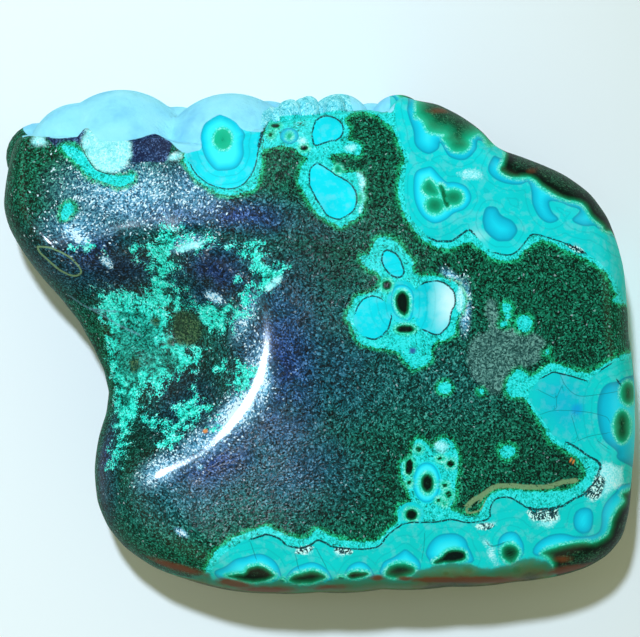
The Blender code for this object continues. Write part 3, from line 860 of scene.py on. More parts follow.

# Where the chrysocolla has a painted whitish glare or is clouded with azure, and where rust stains the
# stone.
WHITE_SHEEN = [
    Spot(19.6, 5.8, 1.5, 2.6, 0.0, 0.85),
    Spot(24.0, 15.8, 0.8, 0.6, 0.0, 0.4),
]
HAZE = [
    Spot(36.6, -9.4, 2.4, 3.4, 25.0, 0.5),
    Spot(38.7, -10.2, 0.75, 0.75, 0.0, 1.2),
]
RUST = [
    Spot(-21.5, -33.8, 3.6, 0.4, -15.0, 0.8),
    Spot(-12.6, -36.3, 2.0, 0.4, -10.0, 0.95),
    Spot(-8.0, -37.3, 3.4, 0.4, 0.0, 0.8),
    Spot(1.5, -36.9, 2.5, 0.3, 3.0, 0.6),
    Spot(8.8, -35.5, 0.7, 0.35, 0.0, 0.8),
    Spot(13.0, -35.6, 1.0, 0.3, 0.0, 0.7),
    Spot(18.0, -35.8, 3.0, 0.3, 0.0, 0.9),
    Spot(24.5, -35.8, 4.0, 0.35, 0.0, 0.95),
    Spot(37.4, -34.2, 3.0, 0.4, 10.0, 0.8),
    Spot(36.6, -32.7, 1.2, 0.4, 0.0, 0.6),
    Spot(18.2, 34.6, 1.4, 0.4, 0.0, 0.5),
    Spot(32.0, 25.6, 1.4, 0.4, 20.0, 0.35),
]

# Single grains of amber and violet.
AMBER = [
    Spot(38.0, -17.9, 0.5, 0.17, -40.0, 1.2),
    Spot(-17.0, -13.5, 0.32, 0.24, 0.0, 1.2),
]
VIOLET = [
    Spot(14.1, -1.4, 0.45, 0.34, 0.0, 1.2),
]

# Black seams where the clean mineral meets its fringe.
SEAMS = [
    Trace(0.2, FAR_CORNER.stretch((16.6, 15.5), (23.2, 16.2))),
    Trace(0.14, FAR_CORNER.stretch((26.4, 13.3), (36.4, 14.9))),
    Trace(0.2, ((37.1, 14.6), (37.9, 14.3), (39.9, 13.2))),
    Trace(0.12, CAP.stretch((-19.2, 26.4), (-9.0, 29.0))),
    Trace(0.3, ((-9.0, 29.0), (-8.5, 31.0), (-8.2, 32.0), (-7.3, 33.5), (-6.0, 33.9))),
    Trace(0.1, PALE_CAP.stretch((-35.6, 29.3), (-30.2, 25.1))),
    Trace(0.16, BEAD.points),
    Trace(0.14, (*DROP.points, DROP.points[0])),
    Trace(0.16, (*PETAL.points, PETAL.points[0])),
    Trace(0.13, ((5.5, 4.4), (5.9, 5.3), (6.6, 6.2), (7.6, 6.7), (8.6, 6.7), (9.4, 6.4))),
    Trace(0.15, ((7.2, 0.5), (8.4, 0.3), (9.5, 0.8), (10.5, 2.0), (10.9, 3.6))),
    Trace(0.15, ((15.6, 8.6), *PEARL.stretch((17.0, 9.0), (15.8, 1.6)))),
    Trace(0.14, SHORE.stretch((33.5, -5.5), (39.9, -5.9))),
    Trace(0.14, SHORE.stretch((42.5, -4.3), (43.8, -3.4))),
    Trace(0.25, ((42.1, -18.4), (42.4, -18.9))),
    Trace(0.22, ((44.9, -6.0), (45.1, -6.3))),
    Trace(0.1, ((23.0, -5.0), (23.5, -5.9), (24.2, -7.0))),
    Trace(0.2, SHORE.stretch((37.4, -15.3), (36.8, -24.6))),
    Trace(0.3, SHORE.stretch((36.8, -24.6), (31.5, -25.1))),
    Trace(0.15, (
        *SHORE.stretch((31.5, -25.1), (24.0, -27.1)),
        *SHORE.stretch((22.0, -27.2), (10.3, -29.2)),
        *SHORE.stretch((9.0, -30.8), (1.8, -30.7)),
    )),
    Trace(0.18, SHORE.stretch((1.8, -30.7), (-10.0, -29.7))),
]

# Thin cracks that cross the clean mineral, and grey folds and khaki streaks in the malachite.
CRACKS = [
    Trace(0.05, ((36.3, -5.2), (37.2, -6.9), (39.0, -8.2), (42.0, -8.0), (44.5, -7.6))),
    Trace(0.05, ((36.6, -6.5), (35.7, -8.6), (35.8, -10.4))),
    Trace(0.05, ((33.1, -7.4), (35.5, -8.6))),
    Trace(0.05, ((33.3, -11.0), (35.5, -10.4), (40.0, -10.6), (43.0, -11.3), (43.5, -11.9))),
    Trace(0.05, ((38.0, -11.4), (38.9, -14.6))),
    Trace(0.05, ((38.2, -15.3), (40.5, -14.3), (43.3, -13.8))),
    Trace(0.05, ((41.9, -15.0), (43.4, -16.1))),
    Trace(0.06, ((-10.2, -30.2), (-9.4, -32.6))),
    Trace(0.06, ((-3.5, -32.0), (-3.0, -34.2))),
    Trace(0.06, ((-0.3, -31.2), (1.2, -34.0))),
    Trace(0.1, ((25.3, -30.3), (26.0, -30.8), (28.0, -30.2))),
    Trace(0.05, ((15.9, -29.0), (15.8, -30.8), (15.5, -32.5))),
]
FOLDS = [
    Trace(0.16, ((-39.8, 7.2), (-38.0, 5.8), (-36.0, 5.1), (-32.0, 4.7))),
    Trace(0.16, ((-36.5, 5.0), (-34.5, 3.9), (-32.0, 2.5), (-28.5, 1.0))),
]
STREAKS = [
    Trace(0.36, (
        (22.2, -24.8), (23.3, -23.8), (25.0, -22.8), (26.5, -21.8), (29.0, -21.7), (31.5, -21.9),
        (34.5, -21.8), (36.5, -21.2), (38.5, -20.9),
    )),
    Trace(0.15, ((22.2, -24.9), (22.4, -25.8), (24.3, -25.3), (25.0, -24.0))),
    Trace(0.13, (
        (-42.2, 14.2), (-40.5, 14.1), (-39.0, 13.5), (-37.5, 12.7), (-36.3, 11.6), (-35.6, 10.4),
        (-36.5, 9.8), (-38.0, 10.2), (-39.5, 11.2), (-41.8, 13.3), (-42.2, 14.2),
    )),
]

# What the material reads, by attribute name, in the order in which the attributes are made.
REGIONS = {
    Kind.BRUISE: BRUISE,
    Kind.NAVY: NAVY,
    Kind.DENDRITE: DENDRITE,
    Kind.OLIVE: OLIVE,
    Kind.FRINGE: FRINGE,
    Kind.CLEAN: CLEAN,
    Kind.AZURE: AZURE,
    Kind.CORE: CORE,
    Kind.PALE: PALE,
    Kind.CRUMB: CRUMB,
    Kind.SIDE: SIDE,
    Kind.SKIN: SKIN,
    Kind.CRUST: CRUST,
}
VALUED = (Kind.CLEAN, Kind.AZURE, Kind.CORE, Kind.SIDE)
LINES = {"seam": SEAMS, "crack": CRACKS, "fold": FOLDS, "streak": STREAKS}
SPOTS = {
    "navy_and_painted_sheen": NAVY_AND_PAINTED_SHEEN,
    "grey_tint": GREY_TINT,
    "shade": SHADE,
    "painted_sparkle": PAINTED_SPARKLE,
    "dull": DULL,
    "white_sheen": WHITE_SHEEN,
    "rust": RUST,
    "haze": HAZE,
    "amber": AMBER,
    "violet": VIOLET,
}


def linear(code: str) -> tuple[float, float, float, float]:
    """Turns an sRGB hex colour into the linear values that a shader takes.

    Args:
        code: The colour as "#RRGGBB".

    Returns:
        Red, green, blue and alpha.
    """
    parts = [int(code[place : place + 2], 16) / 255 for place in (1, 3, 5)]
    values = [part / 12.92 if part <= 0.04045 else ((part + 0.055) / 1.055) ** 2.4 for part in parts]
    return (values[0], values[1], values[2], 1.0)


def add(
    tree: bpy.types.NodeTree, kind: str, *inputs: Any, stops: Stops = (), **settings: Any
) -> bpy.types.Node:
    """Adds one node with its settings and links.

    Args:
        tree: The node tree that takes it.
        kind: The node's type name.
        inputs: What fills its sockets in order: a value, a socket, a node for its first output, or None.
        stops: The places and hex colours of its colour ramp, where it has one.
        settings: Attributes of the node by name.

    Returns:
        The new node.
    """
    node = tree.nodes.new(kind)
    for _ in stops[2:]:
        node.color_ramp.elements.new(1.0)
    for number, (position, code) in enumerate(stops):
        node.color_ramp.elements[number].position = position
        node.color_ramp.elements[number].color = linear(code)
    for name, value in settings.items():
        setattr(node, name, value)
    for number, value in enumerate(inputs):
        if isinstance(value, bpy.types.Node):
            value = value.outputs[0]
        if isinstance(value, bpy.types.NodeSocket):
            tree.links.new(value, node.inputs[number])
        elif value is not None:
            node.inputs[number].default_value = value
    return node


@dataclass
class PatternMap:
    """The stone's pattern: how far each place on the face is inside or outside every region and line.

    reach is how far out of a region its distance is worked out, and line_reach the distance at which a
    line's mask has faded to nothing. line_margin is how far from a line places are looked at, and
    off_line the distance in half-widths that all others are given. All but the last are in millimetres.
    """

    reach: float = 4.0
    line_reach: float = 1.0
    line_margin: float = 2.0
    off_line: float = 50.0

    def regions(self, group: list[Area | Oval], places: np.ndarray) -> tuple[np.ndarray, np.ndarray]:
        """Signed distance to the nearest of several regions, and that region's value.

        Args:
            group: Regions of one kind.
            places: Places on the face.

        Returns:
            The distances and the values.
        """
        best = np.full(len(places), -self.reach)
        value = np.zeros(len(places))
        for region in group:
            depth = region.inside(places, self.reach)
            closer = depth > best
            best = np.where(closer, depth, best)
            value = np.where(closer, region.value, value)
        return best, value

    def lines(self, group: list[Trace], places: np.ndarray) -> tuple[np.ndarray, np.ndarray]:
        """Signed distance to the nearest line in half-widths, and how near the place is to that line.

        The sign changes from one side of a line to the other, so that the material can draw a line
        thinner than a mesh cell where the sign turns.

        Args:
            group: Lines of one kind.
            places: Places on the face.

        Returns:
            The signed distances over the half-width, and a mask that is 1 on a line and 0 out of its
            reach.
        """
        best = np.full(len(places), UNREACHED)
        signed = np.full(len(places), self.off_line)
        for trace in group:
            line = smooth_line(np.array(trace.points), closed=False)
            near = close_to(line, places, self.line_margin)
            for start, end in zip(line[:-1], line[1:]):
                gap, side = segment_distance(places[near], start, end)
                closer = gap < best[near]
                best[near] = np.where(closer, gap, best[near])
                signed[near] = np.where(closer, side / trace.half_width, signed[near])
        return signed, np.clip(1 - best / self.line_reach, 0, 1)

    def tint(self, spots: list[Spot], places: np.ndarray) -> np.ndarray:
        """How strong the strongest of several spots is at each place."""
        mask = np.zeros(len(places))
        for spot in spots:
            mask = np.maximum(mask, spot.mask(places))
        return mask

    def layers(self, places: np.ndarray) -> Iterator[tuple[str, np.ndarray]]:
        """Every attribute of the pattern by name, for the places given."""
        for kind, group in REGIONS.items():
            depth, value = self.regions(group, places)
            yield kind.value, depth
            if kind in VALUED:
                yield kind.value + "_value", value
        for name, traces in LINES.items():
            signed, near = self.lines(traces, places)
            yield name, signed
            yield name + "_near", near
        for name, spots in SPOTS.items():
            yield name, self.tint(spots, places)

    @staticmethod
    def names() -> list[str]:
        """The names of all attributes that the stone's mesh has."""
        kinds = [kind.value for kind in REGIONS]
        values = [kind.value + "_value" for kind in VALUED]
        lines = [name + end for name in LINES for end in ("", "_near")]
        return [*kinds, *values, *lines, *SPOTS, "steep"]


@dataclass
class Stone:
    """The specimen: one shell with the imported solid's own shape, and its pattern as mesh attributes.

    Its lengths are in millimetres. flat_share and base_flat_share are the parts of the way out from the
    middle that stay flat, roundness the power of the edges' curve, and dome_x and dome_y the middle,
    half-width and drop of the face's slight bulge. The polish gives its full gloss where the surface's
    upward share is over glossy_above, and fades over gloss_fade below that. cells counts the mesh cells
    across the face, and upper_rows and lower_rows those down the sides, above and below the girdle.
    """

    thickness: float = 28.0
    girdle_height: float = 12.0
    base_rounding: float = 14.0
    outline_blur: float = 0.8
    outline_steps: int = 1440
    flat_share: float = 0.62
    base_flat_share: float = 0.5
    roundness: float = 2.5
    top_span: float = math.radians(98.0)
    patch_span: float = math.radians(60.0)
    dome_x: Place = (10.0, 40.0, 1.6)
    dome_y: Place = (-2.0, 36.0, 1.4)
    camera_height: float = 528.0
    camera_axis: Point = (0.2, 3.4)
    wall_height: float = 20.6
    glossy_above: float = 0.97
    gloss_fade: float = 0.2
    cells: int = 196
    upper_rows: int = 44
    lower_rows: int = 28
    pattern: PatternMap = field(default_factory=PatternMap)

    def outline_at(self, angles: np.ndarray) -> tuple[np.ndarray, np.ndarray]:
        """The outline's radius and edge rounding at each angle, as one smooth closed curve.

        Args:
            angles: Directions from the stone's middle, in radians.

        Returns:
            Radius and edge rounding in millimetres.
        """
        points = np.array(OUTLINE)
        known = np.arctan2(points[:, 1], points[:, 0])
        radius = np.hypot(points[:, 0], points[:, 1])
        steps = self.outline_steps
        fine = np.linspace(-math.pi, math.pi, steps, endpoint=False)
        order = np.argsort(known)
        turns = np.minimum(np.arange(steps), steps - np.arange(steps)) * 2 * math.pi / steps
        kernel = np.exp(-0.5 * (turns / math.radians(self.outline_blur)) ** 2)
        kernel /= kernel.sum()
        smooth = []
        for values in (radius, points[:, 2]):
            straight = np.interp(fine, known[order], values[order], period=2 * math.pi)
            rounded = np.fft.irfft(np.fft.rfft(straight) * np.fft.rfft(kernel), steps)
            smooth.append(np.interp(angles, fine, rounded, period=2 * math.pi))
        return smooth[0], smooth[1]

    def face_height(self, x: np.ndarray, y: np.ndarray) -> np.ndarray:
        """Height of the polished face above the base, before its edge is rounded."""
        height = self.thickness - sum(
            drop * ((value - middle) / reach) ** 2
            for value, (middle, reach, drop) in ((x, self.dome_x), (y, self.dome_y))
        )
        for centre_x, centre_y, wide, deep, rise, square, turn in FACE_FORMS:
            across, along = turned(x - centre_x, y - centre_y, turn)
            height = height + rise * np.exp(-0.5 * np.hypot(across / wide, along / deep) ** square)
        return height

    def profile_points(self, directions: np.ndarray) -> np.ndarray:
        """Moves unit directions onto the stone's polished body.

        Args:
            directions: Unit vectors, one row each.

        Returns:
            Places in millimetres.
        """
        angle = np.arctan2(directions[:, 1], directions[:, 0])
        tilt = np.arccos(np.clip(directions[:, 2], -1, 1))
        radius, rounding = self.outline_at(angle)
        above = tilt < self.top_span
        share = np.where(above, tilt / self.top_span, (math.pi - tilt) / (math.pi - self.top_span))
        flat_share = np.where(above, self.flat_share, self.base_flat_share)
        flat = np.minimum(share / flat_share, 1.0)
        turn = np.clip((share - flat_share) / (1 - flat_share), 0, 1) * math.pi / 2
        out = np.sin(turn) ** (2 / self.roundness)
        up = np.cos(turn) ** (2 / self.roundness)
        edge = np.where(above, rounding, self.base_rounding)
        reach = flat * (radius - edge) + out * edge
        x, y = reach * np.cos(angle), reach * np.sin(angle)
        top = self.girdle_height + (self.face_height(x, y) - self.girdle_height) * up
        base = self.girdle_height * (1 - up)
        return np.stack([x, y, np.where(above, top, base)], axis=1)

    def patch(self, cells: int, sign: int) -> np.ndarray:
        """Directions of a square patch round the top (sign 1) or the bottom (sign -1) of a sphere."""
        spread = np.tan(np.linspace(-1, 1, cells + 1) * self.patch_span)
        across, along = np.meshgrid(spread, spread, indexing="ij")
        points = np.stack([across.ravel(), along.ravel(), np.full(across.size, float(sign))], axis=1)
        return points / np.linalg.norm(points, axis=1, keepdims=True)

    @staticmethod
    def patch_faces(first: int, cells: int, sign: int) -> list[tuple[int, ...]]:
        """The cells of a patch from the number of its first point, facing up (sign 1) or down (sign -1)."""
        side = cells + 1
        faces = []
        for i in range(cells):
            for j in range(cells):
                corner = first + i * side + j
                opposite = corner + side + 1
                if sign > 0:
                    faces.append((corner, corner + side, opposite, corner + 1))
                else:
                    faces.append((corner, corner + 1, opposite, corner + side))
        return faces

    @staticmethod
    def rim(cells: int) -> np.ndarray:
        """Numbers of a patch's border points, anticlockwise seen from above."""
        side = cells + 1
        grid = np.arange(side * side).reshape(side, side)
        return np.concatenate([grid[:-1, 0], grid[-1, :-1], grid[:0:-1, -1], grid[0, :0:-1]])

    @staticmethod
    def ring(azimuth: np.ndarray, tilt: np.ndarray) -> np.ndarray:
        """Directions at the azimuths and tilts given."""
        out = np.sin(tilt)
        return np.stack([out * np.cos(azimuth), out * np.sin(azimuth), np.cos(tilt)], axis=1)

    @staticmethod
    def band(above: np.ndarray, below: np.ndarray) -> list[tuple[int, ...]]:
        """The faces between two rings of points.

        Args:
            above: Numbers of the upper ring's points.
            below: Numbers of the lower ring's: as many, or half as many to go over to coarser cells.

        Returns:
            The faces, which take in the upper ring's middle points where the lower ring is the coarser.
        """
        corners = [above, below, np.roll(below, -1), np.roll(above, -1)]
        if len(above) > len(below):
            corners = [above[::2], below, np.roll(below, -1), np.roll(above[::2], -1), above[1::2]]
        return [tuple(face) for face in np.stack(corners, 1)]

    def shell(self) -> tuple[np.ndarray, list[tuple[int, ...]]]:
        """The sphere that the stone is moved from: fine cells on the face, and coarser ones on the base.

        Returns:
            Unit directions, and faces as tuples of their numbers.
        """
        coarse_cells = self.cells // 2
        top, bottom = self.patch(self.cells, 1), self.patch(coarse_cells, -1)
        above, bottom_rim = self.rim(self.cells), self.rim(coarse_cells)
        directions = [top]
        faces = self.patch_faces(0, self.cells, 1)
        azimuth = np.arctan2(top[above, 1], top[above, 0])
        start = np.arccos(top[above, 2])
        finish = np.arccos(bottom[bottom_rim, 2])
        count = len(top)
        for row in range(1, self.upper_rows + self.lower_rows):
            lower_row = row - self.upper_rows
            if lower_row <= 0:
                tilt = start + (self.top_span - start) * row / self.upper_rows
            else:
                tilt = self.top_span + (finish - self.top_span) * lower_row / self.lower_rows
            if lower_row == 1:
                azimuth = azimuth[::2]
            directions.append(self.ring(azimuth, tilt))
            below = np.arange(count, count + len(azimuth))
            count += len(azimuth)
            faces += self.band(above, below)
            above = below
        faces += self.band(above, bottom_rim + count)
        directions.append(bottom)
        faces += self.patch_faces(count, coarse_cells, -1)
        return np.vstack(directions), faces

    def growths(self) -> list[tuple[float, ...]]:
        """Centre and radius of every growth: the botryoids, and the crust's knobs in a fixed order."""
        draw = random.Random(KNOB_SEED)
        knobs = []
        for _ in range(KNOB_COUNT):
            centre = [draw.uniform(low, high) for low, high in zip(KNOB_LOW, KNOB_HIGH)]
            knobs.append((*centre, draw.uniform(*KNOB_RADIUS)))
        return [*BOTRYOIDS, *knobs]

    def push_out(self, places: np.ndarray) -> np.ndarray:
        """Moves each point outwards to the far side of any growth that its ray from the middle meets."""
        middle = np.array([0.0, 0.0, self.girdle_height])
        away = places - middle
        distance = np.linalg.norm(away, axis=1)
        ray = away / distance[:, None]
        for x, y, z, radius in self.growths():
            centre = np.array([x, y, z]) - middle
            along = ray @ centre
            miss = centre @ centre - along**2
            leaves = along + np.sqrt(np.maximum(radius**2 - miss, 0))
            hit = (miss < radius**2) & (along > 0)
            distance = np.where(hit & (leaves > distance), leaves, distance)
        return middle + ray * distance[:, None]

    def pattern_places(self, places: np.ndarray) -> np.ndarray:
        """Where on the face's map each point lies: over the edge the map runs on down the side."""
        axis = np.array(self.camera_axis)
        scale = (self.camera_height - self.thickness) / (self.camera_height - places[:, 2:3])
        flat = axis + (places[:, :2] - axis) * scale
        outwards = places[:, :2] / np.maximum(np.linalg.norm(places[:, :2], axis=1, keepdims=True), TINY)
        return flat + outwards * np.maximum(self.wall_height - places[:, 2:3], 0)

    def build(self) -> bpy.types.Object:
        """Builds the stone's mesh with its pattern attributes.

        Returns:
            The stone's object, in metres.
        """
        directions, faces = self.shell()
        places = self.push_out(self.profile_points(directions))
        mesh = bpy.data.meshes.new("stone")
        mesh.from_pydata((places * MM).tolist(), [], faces)
        mesh.shade_smooth()
        flat = self.pattern_places(places)
        for name, values in self.pattern.layers(flat):
            mesh.attributes.new(name, "FLOAT", "POINT").data.foreach_set("value", values.astype(np.float32))
        mesh.update()
        normals = np.empty(len(places) * 3, dtype=np.float32)
        mesh.vertices.foreach_get("normal", normals)
        steep = np.clip((self.glossy_above - normals[2::3]) / self.gloss_fade, 0, 1)
        mesh.attributes.new("steep", "FLOAT", "POINT").data.foreach_set("value", steep)
        stone = bpy.data.objects.new("polished_stone_body", mesh)
        bpy.context.scene.collection.objects.link(stone)
        return stone


class Grain(Enum):
    """What a mineral's colours follow across its surface."""

    FLECK = "fibre ends"
    MOSS = "clusters of grains"
    CLOUD = "soft clouding"
    DEPTH = "distance inwards from the rim"


@dataclass(frozen=True)
class Noise:
    """A random pattern: its size in millimetres, how many finer steps it has and how strong those are."""

    size: float
    detail: float
    strength: float


@dataclass(frozen=True)
class Speckle:
    """How a grain is mixed from the fine noise, the middling noise and a random tone for each fibre end."""

    fine: float
    middling: float
    ends: float
    shift: float
    channel: str


@dataclass(frozen=True)
class Mineral:
    """One mineral of the pattern, which lies over those before it.

    ragged is how far the middling and the fine grain push its edge about and edge the depths between
    which it fades in, both in millimetres. cover is how much it hides. Its colours run through the stops
    along its grain, as shares of the grain's range or, for a depth, of the region's own value. A kind may
    have several layers, of which the last one counts for the gloss.
    """

    kind: Kind
    grain: Grain
    ragged: tuple[float, float]
    edge: tuple[float, float]
    stops: Stops
    cover: float = 1.0


@dataclass(frozen=True)
class Vein:
    """A thin line of another mineral: its name, how much it wavers and breaks up, its colour and its cover.

    waver and edge are in half-widths of the line, and gaps is the fine grain below which the line is
    missing.
    """

    name: str
    waver: float
    edge: tuple[float, float]
    gaps: tuple[float, float]
    colour: str
    cover: float


@dataclass(frozen=True)
class Stain:
    """A soft-edged colour: the name of its spots, the strengths that it comes in between, and its colour."""

    name: str
    edge: tuple[float, float]
    colour: str
    cover: float


@dataclass(frozen=True)
class PaintedGlitter:
    """Painted highlight: malachite's silky shine, drawn into the colour where bundles of fibres would catch
    the light.

    Its colours come in between two strengths of the painted sparkle. On top of them single fibre ends
    flash as painted glints: those whose random tone, raised by the painted sparkle, is over the rarity.
    """

    stops: Stops
    edge: tuple[float, float]
    gain: float
    rarity: tuple[float, float]
    colour: str
    cover: float


@dataclass(frozen=True)
class Ripples:
    """Growth lines: darker rings in the clean mineral that follow the eyes' outlines.

    Its waver, its spacing and the depths between which the rings fade in are in millimetres. crest is the
    part of each wave that shows.
    """

    waver: float
    spacing: float
    reach: tuple[float, float]
    crest: tuple[float, float]
    colour: str
    cover: float


# Malachite's real fibres are a tenth of a millimetre and finer: they are drawn at twice that, as coarse
# as they need to be to show. They lie one way within a sheaf, whose width is in millimetres.
FIBRE_ENDS = Noise(0.2, 2.0, 0.65)
CLUSTERS = Noise(1.5, 3.0, 0.6)
CLOUDS = Noise(6.0, 3.0, 0.55)
SHEAF_SIZE = 2.6
FIBRE_STRETCH = 0.7
SPECKLES = {
    Grain.FLECK: Speckle(0.75, 0.25, 0.45, -0.22, "Red"),
    Grain.MOSS: Speckle(0.55, 0.45, 0.30, -0.15, "Green"),
}

# Fibrous malachite from the dark between its fibres to their pale ends, with traces of other copper
# minerals that turn it navy or grey; part of the navy is a painted bluish sheen round the highlights.
# NAVY_CLOUDS is two strengths of the clouding, and the shares of the navy at them.
MALACHITE = ((0.26, "#00120A"), (0.42, "#022A1A"), (0.54, "#045038"), (0.66, "#087454"), (0.84, "#3CA88C"))
NAVY_MALACHITE = (
    (0.26, "#020612"), (0.42, "#081434"), (0.54, "#102864"), (0.66, "#20489C"), (0.84, "#84A0E4"),
)
GREY_MALACHITE = (
    (0.26, "#021C1A"), (0.42, "#083E40"), (0.54, "#14606A"), (0.66, "#348E9C"), (0.84, "#90CED8"),
)
NAVY_CLOUDS = (0.3, 0.5, 0.6, 1.0)
# The painted glitter: lighter colour and white fibre ends where highlights and glints are painted.
PAINTED_GLITTER = PaintedGlitter(
    ((0.26, "#1E4C68"), (0.42, "#3880A2"), (0.54, "#62B4D8"), (0.66, "#94D4F4"), (0.84, "#ECFCFF")),
    (0.05, 0.6), 0.4, (0.991, 1.011), "#E0F6FF", 0.9,
)
BENEATH = (
    Mineral(
        Kind.BRUISE, Grain.FLECK, (1.2, 0.5), (-0.4, 0.4),
        ((0.30, "#1E4844"), (0.50, "#447470"), (0.75, "#84B0A8")), 0.7,
    ),
    Mineral(
        Kind.NAVY, Grain.FLECK, (0.3, 0.2), (-0.1, 0.1),
        ((0.30, "#10183A"), (0.50, "#182848"), (0.64, "#24406C"), (0.80, "#5A78A8")),
    ),
    Mineral(
        Kind.FRINGE, Grain.FLECK, (1.4, 1.0), (-0.9, -0.1),
        ((0.30, "#02301C"), (0.50, "#04A060"), (0.75, "#28DCA0")), 0.8,
    ),
    Mineral(
        Kind.DENDRITE, Grain.MOSS, (8.0, 6.0), (0.15, 0.75),
        ((0.31, "#04362E"), (0.40, "#0A9A82"), (0.49, "#18DCC4"), (0.62, "#3CF6E8"), (0.82, "#C8FFFA")),
    ),
    Mineral(
        Kind.DENDRITE, Grain.MOSS, (-10.0, 5.0), (1.9, 2.7),
        ((0.34, "#021C16"), (0.50, "#0A4E40"), (0.62, "#16A08A"), (0.80, "#30E0CC")), 0.8,
    ),
    Mineral(
        Kind.OLIVE, Grain.FLECK, (1.2, 0.8), (-0.5, 0.4),
        ((0.35, "#06281E"), (0.55, "#1C4A34"), (0.80, "#5A7A4A")), 0.9,
    ),
)
ABOVE = (
    Mineral(
        Kind.FRINGE, Grain.MOSS, (0.9, 0.8), (-0.1, 0.1),
        ((0.28, "#066A58"), (0.40, "#10C0B4"), (0.52, "#20E2E0"), (0.72, "#40F0F0"), (0.88, "#E5FFFF")),
    ),
    Mineral(
        Kind.CLEAN, Grain.CLOUD, (0.15, 0.1), (-0.06, 0.06),
        ((0.20, "#06C6D2"), (0.45, "#06DCEA"), (0.62, "#08E6F4"), (0.80, "#2CF0F8")),
    ),
)
EYES = (
    Mineral(
        Kind.AZURE, Grain.DEPTH, (0.12, 0.0), (-0.12, 0.1),
        ((0.0, "#0596AE"), (0.14, "#06B8D4"), (0.5, "#12DAF0"), (1.0, "#38F0FA")),
    ),
    Mineral(
        Kind.CORE, Grain.MOSS, (0.3, 0.3), (-0.7, -0.1),
        ((0.30, "#1CB084"), (0.50, "#34DCB4"), (0.80, "#C0FFF0")), 0.8,
    ),
    Mineral(
        Kind.CORE, Grain.DEPTH, (0.4, 0.3), (-0.08, 0.08),
        ((0.0, "#18BE94"), (0.14, "#0C9068"), (0.4, "#066440"), (0.75, "#023822"), (1.0, "#00120C")),
    ),
    Mineral(
        Kind.CORE, Grain.FLECK, (1.6, 1.2), (0.9, 2.2),
        ((0.30, "#00100A"), (0.45, "#03301E"), (0.58, "#0A5238"), (0.70, "#2E7458"), (0.84, "#5A8A60")),
        0.75,
    ),
    Mineral(
        Kind.PALE, Grain.MOSS, (1.4, 0.8), (-0.3, 0.6),
        ((0.30, "#78E4E8"), (0.50, "#A0F8FC"), (0.80, "#E8FFFF")), 0.9,
    ),
    Mineral(
        Kind.CRUMB, Grain.MOSS, (0.8, 0.8), (-0.3, 0.1),
        ((0.46, "#0A1822"), (0.52, "#3C8088"), (0.56, "#C0FFF6"), (0.80, "#F0FFFC")), 0.95,
    ),
    Mineral(
        Kind.SIDE, Grain.DEPTH, (1.2, 0.4), (-0.3, 0.3),
        ((0.0, "#1E8878"), (0.14, "#3A7450"), (0.32, "#5A6234"), (0.5, "#4A3A20"), (1.0, "#123828")), 0.95,
    ),
    Mineral(
        Kind.SIDE, Grain.FLECK, (5.0, 1.5), (2.0, 4.5),
        ((0.30, "#02140E"), (0.45, "#083424"), (0.58, "#1C5A44"), (0.70, "#4A5A2C"), (0.84, "#7A5030")), 0.9,
    ),
)
SKINS = (
    Mineral(
        Kind.SKIN, Grain.CLOUD, (0.15, 0.1), (-0.08, 0.08),
        ((0.25, "#78C8F0"), (0.50, "#94E4FC"), (0.75, "#A4EEFF")),
    ),
    Mineral(
        Kind.CRUST, Grain.MOSS, (0.8, 0.5), (-0.15, 0.15),
        ((0.30, "#38A8BC"), (0.45, "#66D8E8"), (0.60, "#98EEF8"), (0.80, "#DCFDFF")),
    ),
)
STREAK = Vein("streak", 1.2, (0.7, 1.3), (0.30, 0.40), "#7E9E70", 0.85)
FOLD = Vein("fold", 1.5, (0.5, 1.6), (0.30, 0.45), "#6A94A8", 0.5)
CRACK = Vein("crack", 0.0, (0.6, 1.6), (0.10, 0.20), "#0E6E74", 0.6)
SEAM = Vein("seam", 2.2, (0.5, 1.15), (0.36, 0.46), "#0C1C28", 0.95)
GREENER = Stain("clean_value", (0.0, 1.0), "#06C8B8", 0.85)
# Painted glare: a whitish sheen on the chrysocolla.
PAINTED_GLARE = Stain("white_sheen", (0.0, 1.0), "#E8FFFF", 1.0)
CLOUDED = Stain("haze", (0.0, 1.0), "#0A9CDC", 0.85)
# Painted shade, laid over the malachite from the shade spots.
PAINTED_SHADE = Stain("shade", (0.0, 1.0), "#020C12", 0.8)
IRON = Stain("rust", (0.15, 0.6), "#6B3A1C", 0.9)
GOLDEN = Stain("amber", (0.3, 0.8), "#E08A40", 0.95)
PURPLE = Stain("violet", (0.3, 0.8), "#34489A", 0.85)
RIPPLES = Ripples(0.6, 1.2, (-3.6, -3.0), (0.75, 1.0), "#0E9CA8", 0.28)

# The part of a line's mask over which its ends fade in, and how far the middling grain pushes a stain's
# edge.
LINE_ENDS = (0.3, 0.6)
STAIN_WAVER = 0.5


